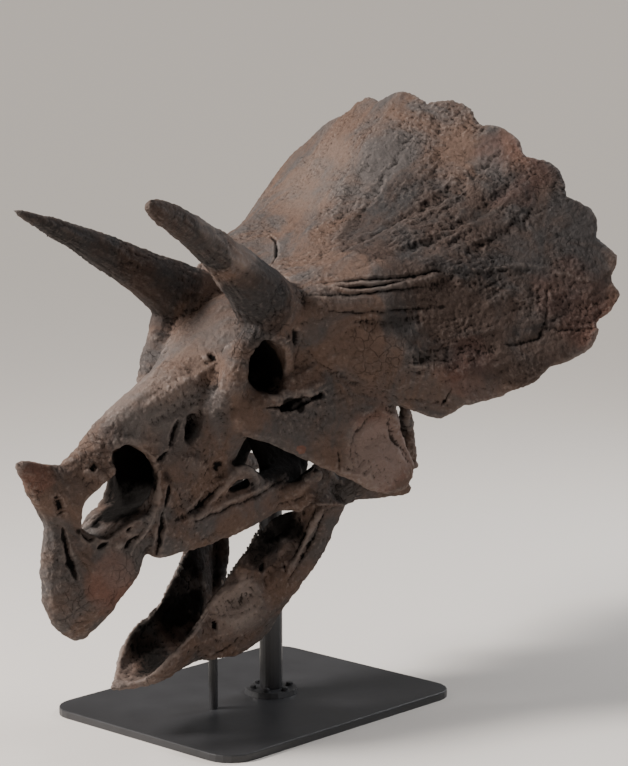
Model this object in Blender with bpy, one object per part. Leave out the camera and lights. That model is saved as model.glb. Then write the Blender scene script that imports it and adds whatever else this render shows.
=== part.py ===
"""Skull of a large three-horned dinosaur, mouth open, on a steel display stand.

Life size, in metres. The skull is modelled in its own frame (+X towards the
beak, +Y towards the animal's left, +Z up, origin midway between the two eye
sockets), united, parted along its main bones, and then pitched nose-down onto
its stand. World frame: +X towards the beak, +Y the animal's left, +Z up, with
the origin at the centre of the underside of the stand's base.
"""
import math

import bmesh
import bpy
import numpy as np
from mathutils import Matrix, Vector

# ---------------------------------------------------------------- main sizes
PITCH = math.radians(12.29)      # nose-down pitch of the skull on its stand
EYE_HEIGHT = 1.10                # eye-socket centre above the floor
EYE_FORWARD = 0.15               # eye sockets ahead of the stand's centre
GAPE = math.radians(24.0)        # opening of the lower jaw

ORBIT = (0.014, 0.203, 0.008)    # eye-socket centre (x, half spacing, z)
ORBIT_LENGTH = 0.108
ORBIT_HEIGHT = 0.160
ORBIT_DEPTH = 0.150
ORBIT_RIM = 0.028                # thickness of the raised rim

HORN_BASE = (-0.070, 0.177, 0.155)
LEFT_HORN_TIP = (0.440, 0.290, 0.631)
RIGHT_HORN_TIP = (0.456, -0.290, 0.588)
LEFT_HORN_BOW = 0.038            # how far each horn arches above its chord
RIGHT_HORN_BOW = 0.012
HORN_RADIUS = 0.105              # at the base

NASAL_HORN_TIP = (0.832, 0.0, -0.019)
NASAL_HORN_BASE = (0.712, 0.0, -0.158)
NASAL_HORN_HALF_LENGTH = 0.082
NASAL_HORN_HALF_WIDTH = 0.052

FRILL_HALF_WIDTH = 0.850
FRILL_RIGHT_SHARE = 0.955        # the right side is a little narrower
FRILL_CREST = (-0.985, 0.585)    # rear end of the midline (x, z)
FRILL_THICKNESS = 0.034
FRILL_EDGE_THICKNESS = 0.026
FRILL_ROOT_THICKNESS = 0.085
FRILL_SAG = 0.050                # hollow of the face along the midline
LOBES_PER_SIDE = 9
LOBE_DEPTH = 0.042               # how far the margin dips between two lobes
MIDLINE_RIDGE = 0.020            # height of the bar down the frill's middle
MIDLINE_BUMPS = 4
FOLDS_PER_SIDE = 4               # broad folds that fan out from the root
FOLD_HEIGHT = 0.007

JAW_HINGE = (-0.20, -0.43)       # (x, z) about which the lower jaw is opened
JAW_WALL = 0.022                 # thickness of the scoop's wall
VOXEL = 0.0085                   # cell of the uniting remesh
JAW_VOXEL = 0.007
GAP = 0.0003                     # clearance between neighbouring solids

SKULL_TRIANGLES = 4600
JAW_TRIANGLES = 1150
ROD_SIDES = 24

# ------------------------------- where the bones part (lengths of their boxes)
HORN_SEAM = 0.17                 # share of each brow horn that stays on the cranium
HORN_REGION = (0.80, 0.36, 0.36)
NASAL_HORN_SEAM = 0.025          # height of the nose horn's seam above its base
NASAL_HORN_REGION = (0.30, 0.30, 0.40)
BEAK_LEAN = math.radians(18.7)   # forward lean of the beak's seam
BEAK_CORNER = (0.718, 0.0, -0.262)
BEAK_REGION = (0.40, 0.40, 0.62)
SQUAMOSAL_YAW = math.radians(33.7)
SQUAMOSAL_CORNER = (-0.410, 0.376)
SQUAMOSAL_REGION = (1.2, 0.8, 1.6)
QUADRATE_REGION = ((-0.562, 0.23, -0.62), (-0.362, 0.43, -0.15))
JUGAL_REGION = ((-0.562, 0.24, -0.65), (0.238, 0.56, -0.15))
MAXILLA_REGION = ((-0.175, GAP / 2, -0.635), (0.435, 0.24, -0.335))
FRILL_SEAM = (-0.42, 0.0, 0.18)
FRILL_RISE = (-0.8, 0.0, 0.6)
FRILL_REGION = (1.0, 2.0, 1.6)
SNOUT_SEAM = 0.155
SNOUT_REGION = (0.8, 0.8, 1.2)
EYE_TO_MUZZLE = -0.20            # height of the muzzle's middle from the eye sockets
JAW_SEAM = 0.50                  # where the scoop ends, ahead of the hinge
JAW_REGION = (1.0, 0.60, 1.0)

# --------------------------------------------------------------- stand sizes
BASE_LENGTH = 1.02
BASE_WIDTH = 0.80
BASE_THICKNESS = 0.024
BASE_CORNER = 0.09
POST_RADIUS = 0.036
POST_X = -0.070                  # post centre, ahead of the base's centre
JAW_ROD_X = 0.185
JAW_ROD_RADIUS = 0.014
BASE_BEVEL = 0.004
FOOT_HEIGHT = 0.016
FOOT_RADII = (0.085, 0.080)      # below and above
SADDLE_RADIUS = 0.052            # top of the post's pad
SADDLE_REACH = (0.040, 0.020)    # pad below and above the bone's underside
CUP_RADIUS = 0.030               # top of the jaw rod's pad
CUP_REACH = (0.020, 0.018)

# ------------------------------------------------------------------ colours
BONE = (0.205, 0.140, 0.108, 1.0)
BONE_DARK = (0.110, 0.088, 0.078, 1.0)
BONE_RED = (0.235, 0.135, 0.100, 1.0)
STEEL = (0.022, 0.022, 0.024, 1.0)


# ---------------------------------------------------------------- curves
def smooth_curve(keys):
    """Return a smooth function through (t, value or tuple) keys."""
    ts = np.array([key[0] for key in keys], float)
    vs = np.array([np.atleast_1d(np.asarray(key[1], float)) for key in keys])
    slopes = np.zeros_like(vs)
    steps = (vs[1:] - vs[:-1]) / (ts[1:] - ts[:-1])[:, None]
    slopes[0] = steps[0]
    slopes[-1] = steps[-1]
    slopes[1:-1] = 0.5 * (steps[1:] + steps[:-1])

    def value(t):
        t = min(max(t, ts[0]), ts[-1])
        i = int(min(np.searchsorted(ts, t, side="right") - 1, len(ts) - 2))
        h = ts[i + 1] - ts[i]
        s = (t - ts[i]) / h
        a = (1 + 2 * s) * (1 - s) ** 2
        b = s * (1 - s) ** 2
        c = s * s * (3 - 2 * s)
        d = s * s * (s - 1)
        out = a * vs[i] + b * h * slopes[i] + c * vs[i + 1] + d * h * slopes[i + 1]
        return out if len(out) > 1 else float(out[0])

    return value


def mirrored(form):
    """Return the right-hand twin of a left-hand form."""
    verts, faces = form
    return [(x, -y, z) for x, y, z in verts], [tuple(reversed(f)) for f in faces]


def loft(rings):
    """Join equal rings of points into one closed form with flat ends."""
    count = len(rings[0])
    verts = [tuple(p) for ring in rings for p in ring]
    faces = []
    for r in range(len(rings) - 1):
        for k in range(count):
            a = r * count + k
            b = r * count + (k + 1) % count
            faces.append((a, b, b + count, a + count))
    faces.append(tuple(reversed(range(count))))
    last = (len(rings) - 1) * count
    faces.append(tuple(last + k for k in range(count)))
    return verts, faces


def ring(centre, side, up, half_side, half_up, power=2.3, count=28, pinch=0.0):
    """Return a rounded section; pinch narrows its upper part."""
    centre = np.asarray(centre, float)
    points = []
    for k in range(count):
        a = 2 * math.pi * k / count
        c = math.copysign(abs(math.cos(a)) ** (2 / power), math.cos(a))
        s = math.copysign(abs(math.sin(a)) ** (2 / power), math.sin(a))
        points.append(centre + np.asarray(side) * (half_side * c * (1 - pinch * s))
                      + np.asarray(up) * (half_up * s))
    return points


def tube(path, radii, up=(0, 0, 1), steps=14, power=2.0, count=20):
    """Sweep an oval section along a smooth path with rounded ends.

    path and radii are (t, value) keys; a radius is (sideways, upwards).
    """
    line = smooth_curve(path)
    size = smooth_curve(radii)
    t0, t1 = path[0][0], path[-1][0]
    rings = []
    for i in range(steps + 1):
        t = t0 + (t1 - t0) * i / steps
        h = (t1 - t0) * 1e-3
        along = line(min(t + h, t1)) - line(max(t - h, t0))
        along /= np.linalg.norm(along)
        side = np.cross(along, up)
        side /= np.linalg.norm(side)
        lift = np.cross(side, along)
        a, b = size(t)
        rings.append(ring(line(t), side, lift, a, b, power, count))
        if i in (0, steps):
            sign = -1 if i == 0 else 1
            cap = ring(line(t) + sign * along * min(a, b) * 0.45, side, lift,
                       a * 0.6, b * 0.6, power, count)
            if i == 0:
                rings.insert(0, cap)
            else:
                rings.append(cap)
    return loft(rings)


def plate(front, rear, thickness, outward, steps=14, count=24):
    """Make a thick plate between a front edge and a rear edge.

    front, rear and thickness are (t, value) keys from the plate's top down.
    """
    lead = smooth_curve(front)
    trail = smooth_curve(rear)
    thick = smooth_curve(thickness)
    outward = np.asarray(outward, float)
    rings = []
    for i in range(steps + 1):
        t = i / steps
        a, b = lead(t), trail(t)
        half = (a - b) / 2
        length = np.linalg.norm(half)
        half /= length
        normal = outward - half * np.dot(outward, half)
        normal /= np.linalg.norm(normal)
        rings.append(ring((a + b) / 2, half, normal, length, thick(t), 3.0, count))
    return loft(rings)


# ------------------------------------------------------- forms of the skull
def cranium_forms():
    """Snout, forehead and braincase as one long body of changing section."""
    roof = smooth_curve([(-0.46, 0.06), (-0.33, 0.125), (-0.18, 0.170), (-0.05, 0.165),
                         (0.06, 0.118), (0.20, 0.062), (0.337, 0.027), (0.42, 0.008),
                         (0.52, -0.024), (0.58, -0.062), (0.66, -0.088), (0.72, -0.13)])
    floor = smooth_curve([(-0.46, -0.13), (-0.30, -0.19), (-0.10, -0.200), (0.04, -0.205),
                          (0.15, -0.30), (0.22, -0.40), (0.40, -0.43), (0.55, -0.43),
                          (0.66, -0.42), (0.72, -0.38)])
    half = smooth_curve([(-0.46, 0.10), (-0.33, 0.135), (-0.18, 0.165), (-0.06, 0.205),
                         (0.05, 0.196), (0.13, 0.165), (0.25, 0.136), (0.42, 0.110),
                         (0.52, 0.094), (0.62, 0.062), (0.72, 0.030)])
    pinch = smooth_curve([(-0.46, 0.0), (0.0, 0.05), (0.15, 0.22), (0.40, 0.32),
                          (0.72, 0.15)])
    rings = []
    for i in range(46):
        x = -0.46 + 1.18 * i / 45
        top, low = roof(x), floor(x)
        rings.append(ring((x, 0, (top + low) / 2), (0, 1, 0), (0, 0, 1), half(x),
                          (top - low) / 2, 2.7, 32, pinch(x)))
    return [loft(rings)]


def beak_forms():
    """Rostral bone and the front of the premaxillae, from below upwards."""
    lead = smooth_curve([(-0.612, 0.742), (-0.56, 0.796), (-0.48, 0.819), (-0.36, 0.806),
                         (-0.24, 0.766), (-0.12, 0.715)])
    trail = smooth_curve([(-0.612, 0.700), (-0.575, 0.630), (-0.51, 0.525), (-0.46, 0.47),
                          (-0.36, 0.44), (-0.24, 0.46), (-0.12, 0.50)])
    half = smooth_curve([(-0.612, 0.018), (-0.575, 0.048), (-0.51, 0.076), (-0.45, 0.094),
                         (-0.36, 0.086), (-0.24, 0.058), (-0.12, 0.045)])
    rings = []
    for i in range(19):
        z = -0.612 + 0.492 * i / 18
        front, back, wide = lead(z), trail(z), half(z)
        points = []
        for k in range(28):
            a = 2 * math.pi * k / 28
            along = 0.5 * (1 + math.cos(a))
            spread = abs(math.sin(a)) ** 0.8 * (1 - 0.45 * along)
            points.append((back + (front - back) * along,
                           math.copysign(wide * spread * 1.25, math.sin(a)), z))
        rings.append(points)
    return [loft(rings)]


def nasal_horn_forms():
    """Short blunt horn on the nose, pointing forward and a little up."""
    base = np.array(NASAL_HORN_BASE)
    tip = np.array(NASAL_HORN_TIP)
    axis = (tip - base) / np.linalg.norm(tip - base)
    up = np.array((-axis[2], 0, axis[0]))
    length = np.linalg.norm(tip - base)
    shrink = smooth_curve([(-0.5, 1.15), (0.0, 1.0), (0.5, 0.56), (0.85, 0.27), (0.97, 0.13),
                           (1.0, 0.05)])
    rings = []
    for i in range(13):
        t = -0.5 + 1.5 * i / 12
        s = shrink(t)
        rings.append(ring(base + axis * length * t, (0, 1, 0), up,
                          NASAL_HORN_HALF_WIDTH * s, NASAL_HORN_HALF_LENGTH * s, 2.2, 24))
    return [loft(rings)]


def brow_horn_form(side, tip, bow_height, taper_keys):
    """Brow horn: a tapering cone, bowed upwards; side is 1 left, -1 right."""
    base = np.array((HORN_BASE[0], side * HORN_BASE[1], HORN_BASE[2]))
    axis = np.array(tip) - base
    length = np.linalg.norm(axis)
    axis = axis / length
    across = np.cross(axis, (0, 0, 1))
    across /= np.linalg.norm(across)
    up = np.cross(across, axis)
    taper = smooth_curve(taper_keys)
    rings = []
    for i in range(21):
        t = -0.18 + 1.18 * i / 20
        bow = bow_height * 4 * t * (1 - t) if t > 0 else 0.0
        inward = -side * 0.012 * 4 * t * (1 - t) if t > 0 else 0.0
        radius = HORN_RADIUS * taper(t)
        centre = base + axis * length * t + up * bow + np.array((0, inward, 0))
        rings.append(ring(centre, across, up, radius * 0.90, radius, 2.0, 24))
    return loft(rings)


def orbit_rim_form():
    """Raised rim round the left eye socket."""
    x, y, z = ORBIT
    verts = []
    faces = []
    around, across = 32, 12
    for i in range(around):
        a = 2 * math.pi * i / around
        for k in range(across):
            b = 2 * math.pi * k / across
            grow = ORBIT_RIM * (1.0 + 0.25 * math.sin(a))
            rx = ORBIT_LENGTH / 2 + 0.55 * grow + grow * math.cos(b)
            rz = ORBIT_HEIGHT / 2 + 0.55 * grow + grow * math.cos(b)
            verts.append((x + rx * math.cos(a), y - 0.016 + 0.020 * math.sin(a)
                          - 0.06 * math.cos(a) * 0.5 + 1.25 * grow * math.sin(b),
                          z + rz * math.sin(a)))
    for i in range(around):
        for k in range(across):
            a = i * across + k
            b = i * across + (k + 1) % across
            c = ((i + 1) % around) * across + (k + 1) % across
            d = ((i + 1) % around) * across + k
            faces.append((a, b, c, d))
    return verts, faces


def preorbital_form():
    """Left boss of bone in front of the eye socket."""
    return tube([(0, (0.165, 0.135, -0.075)), (0.5, (0.118, 0.182, 0.000)),
                 (1, (0.080, 0.168, 0.085))],
                [(0, (0.034, 0.030)), (0.5, (0.044, 0.042)), (1, (0.040, 0.040))], steps=8)


def postorbital_form():
    """Left bar of bone behind the eye socket, up to the frill's root."""
    front = [(0.0, (-0.045, 0.150, 0.150)), (0.5, (-0.072, 0.190, 0.030)),
             (1.0, (-0.060, 0.190, -0.110))]
    rear = [(0.0, (-0.260, 0.240, 0.120)), (0.5, (-0.270, 0.275, 0.000)),
            (1.0, (-0.280, 0.310, -0.110))]
    return plate(front, rear, [(0.0, 0.045), (0.5, 0.042), (1.0, 0.038)],
                 (0.2, 1.0, 0.1), steps=8)


def cheek_form():
    """Left jugal: from under the eye socket down and out to its free lobe."""
    front = [(0.0, (0.150, 0.165, -0.085)), (0.15, (0.165, 0.178, -0.150)),
             (0.35, (0.085, 0.222, -0.205)), (0.55, (-0.005, 0.280, -0.285)),
             (0.75, (-0.090, 0.345, -0.360)), (0.90, (-0.150, 0.385, -0.420)),
             (1.0, (-0.225, 0.405, -0.462))]
    rear = [(0.0, (-0.25, 0.270, -0.010)), (0.15, (-0.285, 0.325, -0.085)),
            (0.35, (-0.318, 0.375, -0.170)), (0.55, (-0.328, 0.395, -0.270)),
            (0.75, (-0.335, 0.408, -0.360)), (0.90, (-0.338, 0.415, -0.425)),
            (1.0, (-0.290, 0.415, -0.468))]
    thick = [(0.0, 0.040), (0.3, 0.030), (0.6, 0.024), (0.9, 0.026), (1.0, 0.016)]
    return plate(front, rear, thick, (0.25, 1.0, 0.25))


def quadrate_form():
    """Left quadrate: a strut from the squamosal down to the jaw joint."""
    return tube([(0, (-0.395, 0.335, -0.05)), (0.4, (-0.412, 0.345, -0.24)),
                 (0.8, (-0.400, 0.332, -0.385)), (1, (-0.392, 0.322, -0.440))],
                [(0, (0.036, 0.030)), (0.4, (0.026, 0.022)), (0.8, (0.036, 0.028)),
                 (1, (0.050, 0.034))], up=(1, 0, 0), steps=12)


def maxilla_form():
    """Left tooth-bearing bar, running back under the cheek."""
    line = smooth_curve([(-0.115, (0.144, -0.400)), (0.0, (0.146, -0.396)),
                         (0.15, (0.138, -0.402)), (0.30, (0.120, -0.392)),
                         (0.47, (0.096, -0.390))])
    size = smooth_curve([(-0.115, (0.020, 0.044)), (-0.06, (0.028, 0.060)),
                         (0.0, (0.036, 0.068)), (0.15, (0.042, 0.072)),
                         (0.30, (0.042, 0.078)), (0.47, (0.030, 0.058))])
    rings = []
    for i in range(19):
        x = -0.115 + 0.585 * i / 18
        y, z = line(x)
        wide, high = size(x)
        rings.append(ring((x, y, z), (0, 1, 0), (0, 0, 1), wide, high, 2.6, 20))
    return loft(rings)


def tooth_bar_fold_form():
    """Left rolled flange that rises from the top of the tooth bar."""
    return tube([(0, (0.295, 0.138, -0.345)), (0.3, (0.215, 0.160, -0.302)),
                 (0.6, (0.152, 0.168, -0.286)), (0.85, (0.092, 0.166, -0.312)),
                 (1, (0.070, 0.158, -0.352))],
                [(0, (0.014, 0.016)), (0.3, (0.018, 0.020)), (0.6, (0.020, 0.022)),
                 (1, (0.018, 0.020))], steps=10)


def pterygoid_form():
    """Left pterygoid: a plate from the tooth bar back to the braincase."""
    front = [(0.0, (0.02, 0.070, -0.19)), (0.45, (0.02, 0.105, -0.30)),
             (0.8, (0.01, 0.128, -0.390)), (1.0, (0.01, 0.120, -0.480))]
    rear = [(0.0, (-0.27, 0.070, -0.17)), (0.45, (-0.245, 0.100, -0.29)),
            (0.8, (-0.160, 0.130, -0.405)), (1.0, (-0.120, 0.120, -0.480))]
    return plate(front, rear, [(0.0, 0.022), (1.0, 0.018)], (0.1, 1.0, 0.3), steps=8)


def occiput_forms():
    """Round neck condyle and the two side wings behind the braincase."""
    condyle = tube([(0, (-0.40, 0, -0.075)), (0.6, (-0.50, 0, -0.100)),
                    (1, (-0.532, 0, -0.110))],
                   [(0, (0.052, 0.052)), (0.6, (0.054, 0.054)), (1, (0.042, 0.042))])
    wing = tube([(0, (-0.40, 0.02, 0.0)), (0.6, (-0.415, 0.21, -0.015)),
                 (1, (-0.400, 0.342, -0.055))],
                [(0, (0.030, 0.075)), (0.6, (0.026, 0.060)), (1, (0.030, 0.080))])
    return [condyle, wing, mirrored(wing)]


def frill_margin(u):
    """Return the margin of the frill; u runs 0 at the crest to 1 at the cheek."""
    wide = FRILL_HALF_WIDTH
    keys = [(0.0, (FRILL_CREST[0], 0.0, FRILL_CREST[1])),
            (0.11, (-1.022, 0.240 * wide, 0.546)), (0.22, (-1.020, 0.462 * wide, 0.458)),
            (0.33, (-1.014, 0.662 * wide, 0.350)), (0.44, (-0.992, 0.825 * wide, 0.229)),
            (0.56, (-0.950, 0.950 * wide, 0.098)), (0.67, (-0.883, 1.0 * wide, -0.012)),
            (0.78, (-0.752, 0.955 * wide, -0.130)), (0.89, (-0.577, 0.814 * wide, -0.205)),
            (1.0, (-0.372, 0.608 * wide, -0.262))]
    return smooth_curve(keys)(u)


def frill_root(u):
    """Return where the frill grows out of the head."""
    return smooth_curve([(0.0, (-0.290, 0.0, 0.140)), (0.25, (-0.215, 0.135, 0.165)),
                         (0.5, (-0.150, 0.225, 0.120)), (0.75, (-0.150, 0.245, 0.020)),
                         (1.0, (-0.250, 0.300, -0.110))])(u)


def frill_point(u, v):
    """Return the middle surface of the frill's left half."""
    root, margin = np.array(frill_root(u)), np.array(frill_margin(u))
    lobe = abs(math.sin(math.pi * (u * LOBES_PER_SIDE + 0.5)))
    dip = LOBE_DEPTH * (1 - lobe)
    span = np.linalg.norm(margin - root)
    reach = 1 - dip / span
    point = root + (margin - root) * v * (1 + (reach - 1) * v ** 6)
    arch = 4 * v * (1 - v)
    middle = max(0.0, 1 - u / 0.35)
    ridge = math.exp(-((u - 0.50) / 0.16) ** 2) * math.exp(-((v - 0.32) / 0.26) ** 2)
    cheek = math.exp(-((u - 0.85) / 0.15) ** 2)
    bump = 1 + 0.35 * math.cos(2 * math.pi * MIDLINE_BUMPS * v)
    bar = MIDLINE_RIDGE * bump * math.exp(-(u / 0.045) ** 2) * min(1.0, 5 * (1 - v))
    fold = FOLD_HEIGHT * math.sin(2 * math.pi * FOLDS_PER_SIDE * u) * arch ** 0.5
    point[2] += -FRILL_SAG * arch * (0.35 + 0.65 * middle) + 0.070 * ridge
    point[2] += bar + fold
    point[1] += 0.030 * arch * cheek
    return point


def frill_forms():
    """The whole frill as one thick sheet with a scalloped margin."""
    across, along = 72, 22
    grid = np.zeros((2 * across + 1, along + 1, 3))
    for i in range(-across, across + 1):
        u = abs(i) / across
        for j in range(along + 1):
            p = frill_point(u, j / along)
            y = p[1] if i >= 0 else -p[1] * FRILL_RIGHT_SHARE
            grid[i + across, j] = (p[0], y, p[2])
    du = np.gradient(grid, axis=0)
    dv = np.gradient(grid, axis=1)
    normal = np.cross(dv, du)
    normal /= np.linalg.norm(normal, axis=2)[..., None]
    if normal[across, along // 2, 2] < 0:
        normal = -normal
    thick = smooth_curve([(0.0, FRILL_ROOT_THICKNESS / 2), (0.25, FRILL_THICKNESS * 0.8),
                          (0.6, FRILL_THICKNESS / 2), (0.9, FRILL_THICKNESS / 2),
                          (1.0, FRILL_EDGE_THICKNESS / 2)])
    verts, faces = [], []
    rows = 2 * across + 1
    for sign in (1, -1):
        for i in range(rows):
            for j in range(along + 1):
                verts.append(tuple(grid[i, j] + sign * normal[i, j] * thick(j / along)))

    def at(side, i, j):
        return side * rows * (along + 1) + i * (along + 1) + j

    for i in range(rows - 1):
        for j in range(along):
            faces.append((at(0, i, j), at(0, i + 1, j), at(0, i + 1, j + 1), at(0, i, j + 1)))
            faces.append((at(1, i, j), at(1, i, j + 1), at(1, i + 1, j + 1), at(1, i + 1, j)))
        for j in (0, along):
            faces.append((at(0, i, j), at(1, i, j), at(1, i + 1, j), at(0, i + 1, j)))
    for j in range(along):
        for i in (0, rows - 1):
            faces.append((at(0, i, j), at(0, i, j + 1), at(1, i, j + 1), at(1, i, j)))
    return [(verts, faces)]


# ---------------------------------------------------- openings of the skull
def nostril_cutters():
    """Nostril: one opening from side to side, with a chamber behind it."""
    outline = smooth_curve([(0.0, (0.674, -0.262)), (0.09, (0.652, -0.205)),
                            (0.18, (0.598, -0.188)), (0.25, (0.560, -0.150)),
                            (0.32, (0.535, -0.102)), (0.42, (0.472, -0.090)),
                            (0.52, (0.422, -0.140)), (0.62, (0.415, -0.215)),
                            (0.72, (0.445, -0.298)), (0.80, (0.515, -0.305)),
                            (0.90, (0.620, -0.330)), (1.0, (0.674, -0.262))])
    rings = []
    for y in (-0.2, 0.2):
        rings.append([(outline(k / 36)[0], y, outline(k / 36)[1]) for k in range(36)])
    chamber = tube([(0, (0.525, 0, -0.205)), (0.5, (0.415, 0, -0.200)),
                    (1, (0.300, 0, -0.190))],
                   [(0, (0.052, 0.090)), (0.5, (0.080, 0.108)), (1, (0.062, 0.075))])
    return [loft(rings), chamber]


def orbit_cutter():
    """Eye socket: a deep oval pocket that narrows inwards."""
    x, y, z = ORBIT
    return tube([(0, (x - 0.035, y - ORBIT_DEPTH, z)), (0.5, (x - 0.015, y - 0.05, z)),
                 (1, (x + 0.02, y + 0.10, z))],
                [(0, (0.030, 0.045)), (0.5, (ORBIT_LENGTH / 2, ORBIT_HEIGHT / 2)),
                 (1, (ORBIT_LENGTH / 2 + 0.006, ORBIT_HEIGHT / 2 + 0.008))], count=28)


def antorbital_cutter():
    """Long slanted hole between the nostril and the eye socket."""
    rings = []
    for y, grow in ((0.065, 0.6), (0.10, 0.9), (0.20, 1.15)):
        rings.append(ring((0.250, y, -0.110), (0.67, 0, -0.74), (0.74, 0, 0.67),
                          0.060 * grow, 0.024 * grow, 2.2, 20))
    return loft(rings)


def cheek_slit_cutter():
    """Narrow slit in the cheek below and behind the eye socket."""
    return tube([(0, (0.055, 0.185, -0.125)), (0.5, (-0.010, 0.250, -0.118)),
                 (1, (-0.085, 0.305, -0.104))],
                [(0, (0.022, 0.007)), (0.5, (0.030, 0.013)), (1, (0.022, 0.006))], steps=8)


# ------------------------------------------------------- forms of the jaw
def jaw_point(u, y, v):
    """Turn jaw lengths (u ahead of the hinge, v above) into the skull's frame."""
    c, s = math.cos(GAPE), math.sin(GAPE)
    return (JAW_HINGE[0] + u * c + v * s, y, JAW_HINGE[1] - u * s + v * c)


def ramus_form():
    """Left tooth-bearing blade of the lower jaw."""
    middle = smooth_curve([(0.14, 0.186), (0.21, 0.172), (0.28, 0.154), (0.35, 0.140),
                           (0.45, 0.118), (0.55, 0.098), (0.66, 0.084)])
    top = smooth_curve([(0.14, 0.010), (0.20, 0.046), (0.28, 0.046), (0.36, 0.024),
                        (0.46, 0.000), (0.56, -0.024), (0.66, -0.050)])
    low = smooth_curve([(0.14, -0.060), (0.22, -0.130), (0.33, -0.185), (0.42, -0.218),
                        (0.50, -0.228), (0.56, -0.215), (0.66, -0.140)])
    half = smooth_curve([(0.14, 0.012), (0.22, 0.017), (0.32, 0.022), (0.42, 0.036),
                         (0.50, 0.040), (0.66, 0.030)])
    rings = []
    for i in range(21):
        u = 0.14 + 0.52 * i / 20
        v = (top(u) + low(u)) / 2
        lift = np.array(jaw_point(u, 0, v + 1)) - np.array(jaw_point(u, 0, v))
        lift[1] = -0.16
        rings.append(ring(jaw_point(u, middle(u), v), (0, 1, 0), lift, half(u),
                          (top(u) - low(u)) / 2, 2.5, 20, 0.15))
    return loft(rings)


def jaw_bar_form():
    """Left outer bar, rising from the scoop to the coronoid process."""
    return tube([(0, (0.290, 0.100, -0.765)), (0.18, (0.195, 0.128, -0.745)),
                 (0.38, (0.078, 0.168, -0.690)), (0.56, (-0.034, 0.204, -0.614)),
                 (0.74, (-0.112, 0.226, -0.500)), (0.90, (-0.114, 0.236, -0.415)),
                 (1, (-0.088, 0.234, -0.352))],
                [(0, (0.034, 0.052)), (0.18, (0.040, 0.064)), (0.38, (0.036, 0.058)),
                 (0.56, (0.038, 0.047)), (0.74, (0.034, 0.062)), (0.90, (0.025, 0.090)),
                 (1, (0.018, 0.050))], steps=22)


def jaw_joint_form():
    """Left rear end of the jaw, with the cup under the quadrate."""
    return tube([(0, (-0.090, 0.214, -0.490)), (0.45, (-0.205, 0.256, -0.452)),
                 (0.8, (-0.320, 0.300, -0.488)), (1, (-0.392, 0.318, -0.512))],
                [(0, (0.030, 0.040)), (0.45, (0.026, 0.048)), (0.8, (0.036, 0.034)),
                 (1, (0.038, 0.022))], steps=12)


def predentary_outer(grow=0.0):
    """Scoop at the front of the lower jaw; a negative grow gives its inside."""
    rim = smooth_curve([(0.46, 0.000), (0.55, -0.020), (0.62, -0.028), (0.70, -0.020),
                        (0.80, -0.028), (0.87, -0.022), (0.905, -0.002), (0.928, 0.008)])
    keel = smooth_curve([(0.46, -0.238), (0.52, -0.240), (0.60, -0.208), (0.70, -0.140),
                         (0.78, -0.108), (0.86, -0.066), (0.905, -0.028),
                         (0.928, -0.006)])
    half = smooth_curve([(0.46, 0.120), (0.55, 0.106), (0.62, 0.110), (0.70, 0.122),
                         (0.76, 0.113), (0.82, 0.088), (0.87, 0.052), (0.905, 0.024),
                         (0.928, 0.008)])
    inside = grow < 0
    end = 0.928 + (1.8 * grow if inside else 0)
    start = 0.40 if inside else 0.50
    rings = []
    for i in range(15):
        u = start + (end - start) * i / 14
        wide = max(half(u) + grow, 0.004)
        top = rim(u) + (0.08 if inside else 0.0)
        low = min(keel(u) - 1.3 * grow, rim(u) - 0.004)
        deep = rim(u) - low
        points = []
        for k in range(24):
            a = math.pi * k / 23
            points.append(jaw_point(u, wide * math.cos(a),
                                    rim(u) - deep * math.sin(a) ** 0.9))
        points.append(jaw_point(u, -wide * 0.98, top + 0.002))
        points.append(jaw_point(u, wide * 0.98, top + 0.002))
        rings.append(points)
    return loft(rings)


# ------------------------------------------------------------ Blender steps
def clear_scene():
    """Remove the start-up objects."""
    for obj in list(bpy.data.objects):
        bpy.data.objects.remove(obj, do_unlink=True)


def bone_material(name, colour, roughness=0.72, metallic=0.0):
    """Return a plain Principled material."""
    mat = bpy.data.materials.new(name)
    mat.use_nodes = True
    shader = mat.node_tree.nodes["Principled BSDF"]
    shader.inputs["Base Color"].default_value = colour
    shader.inputs["Roughness"].default_value = roughness
    shader.inputs["Metallic"].default_value = metallic
    mat.diffuse_color = colour
    return mat


def add_object(name, mesh, mat=None):
    """Link a mesh to the scene under a name."""
    obj = bpy.data.objects.new(name, mesh)
    bpy.context.scene.collection.objects.link(obj)
    if mat is not None:
        obj.data.materials.clear()
        obj.data.materials.append(mat)
    return obj


def form_mesh(name, forms):
    """Put closed forms into one mesh, each with its faces pointing out."""
    target = bmesh.new()
    for verts, faces in forms:
        part = bmesh.new()
        made = [part.verts.new(v) for v in verts]
        for face in faces:
            part.faces.new([made[k] for k in face])
        bmesh.ops.recalc_face_normals(part, faces=part.faces)
        if part.calc_volume(signed=True) < 0:
            bmesh.ops.reverse_faces(part, faces=part.faces)
        piece = bpy.data.meshes.new("piece")
        part.to_mesh(piece)
        part.free()
        target.from_mesh(piece)
        bpy.data.meshes.remove(piece)
    mesh = bpy.data.meshes.new(name)
    target.to_mesh(mesh)
    target.free()
    return mesh


def applied(obj):
    """Bake an object's modifiers into its mesh."""
    bpy.context.view_layer.update()
    graph = bpy.context.evaluated_depsgraph_get()
    mesh = bpy.data.meshes.new_from_object(obj.evaluated_get(graph))
    obj.modifiers.clear()
    old = obj.data
    obj.data = mesh
    if old.users == 0:
        bpy.data.meshes.remove(old)
    return obj


def remesh(obj, voxel=VOXEL):
    """Unite overlapping forms into one skin."""
    mod = obj.modifiers.new("Unite", "REMESH")
    mod.mode = "VOXEL"
    mod.voxel_size = voxel
    return applied(obj)


def smooth(obj, factor, repeats):
    """Soften a mesh evenly."""
    mod = obj.modifiers.new("Soften", "SMOOTH")
    mod.factor = factor
    mod.iterations = repeats
    return applied(obj)


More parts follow.
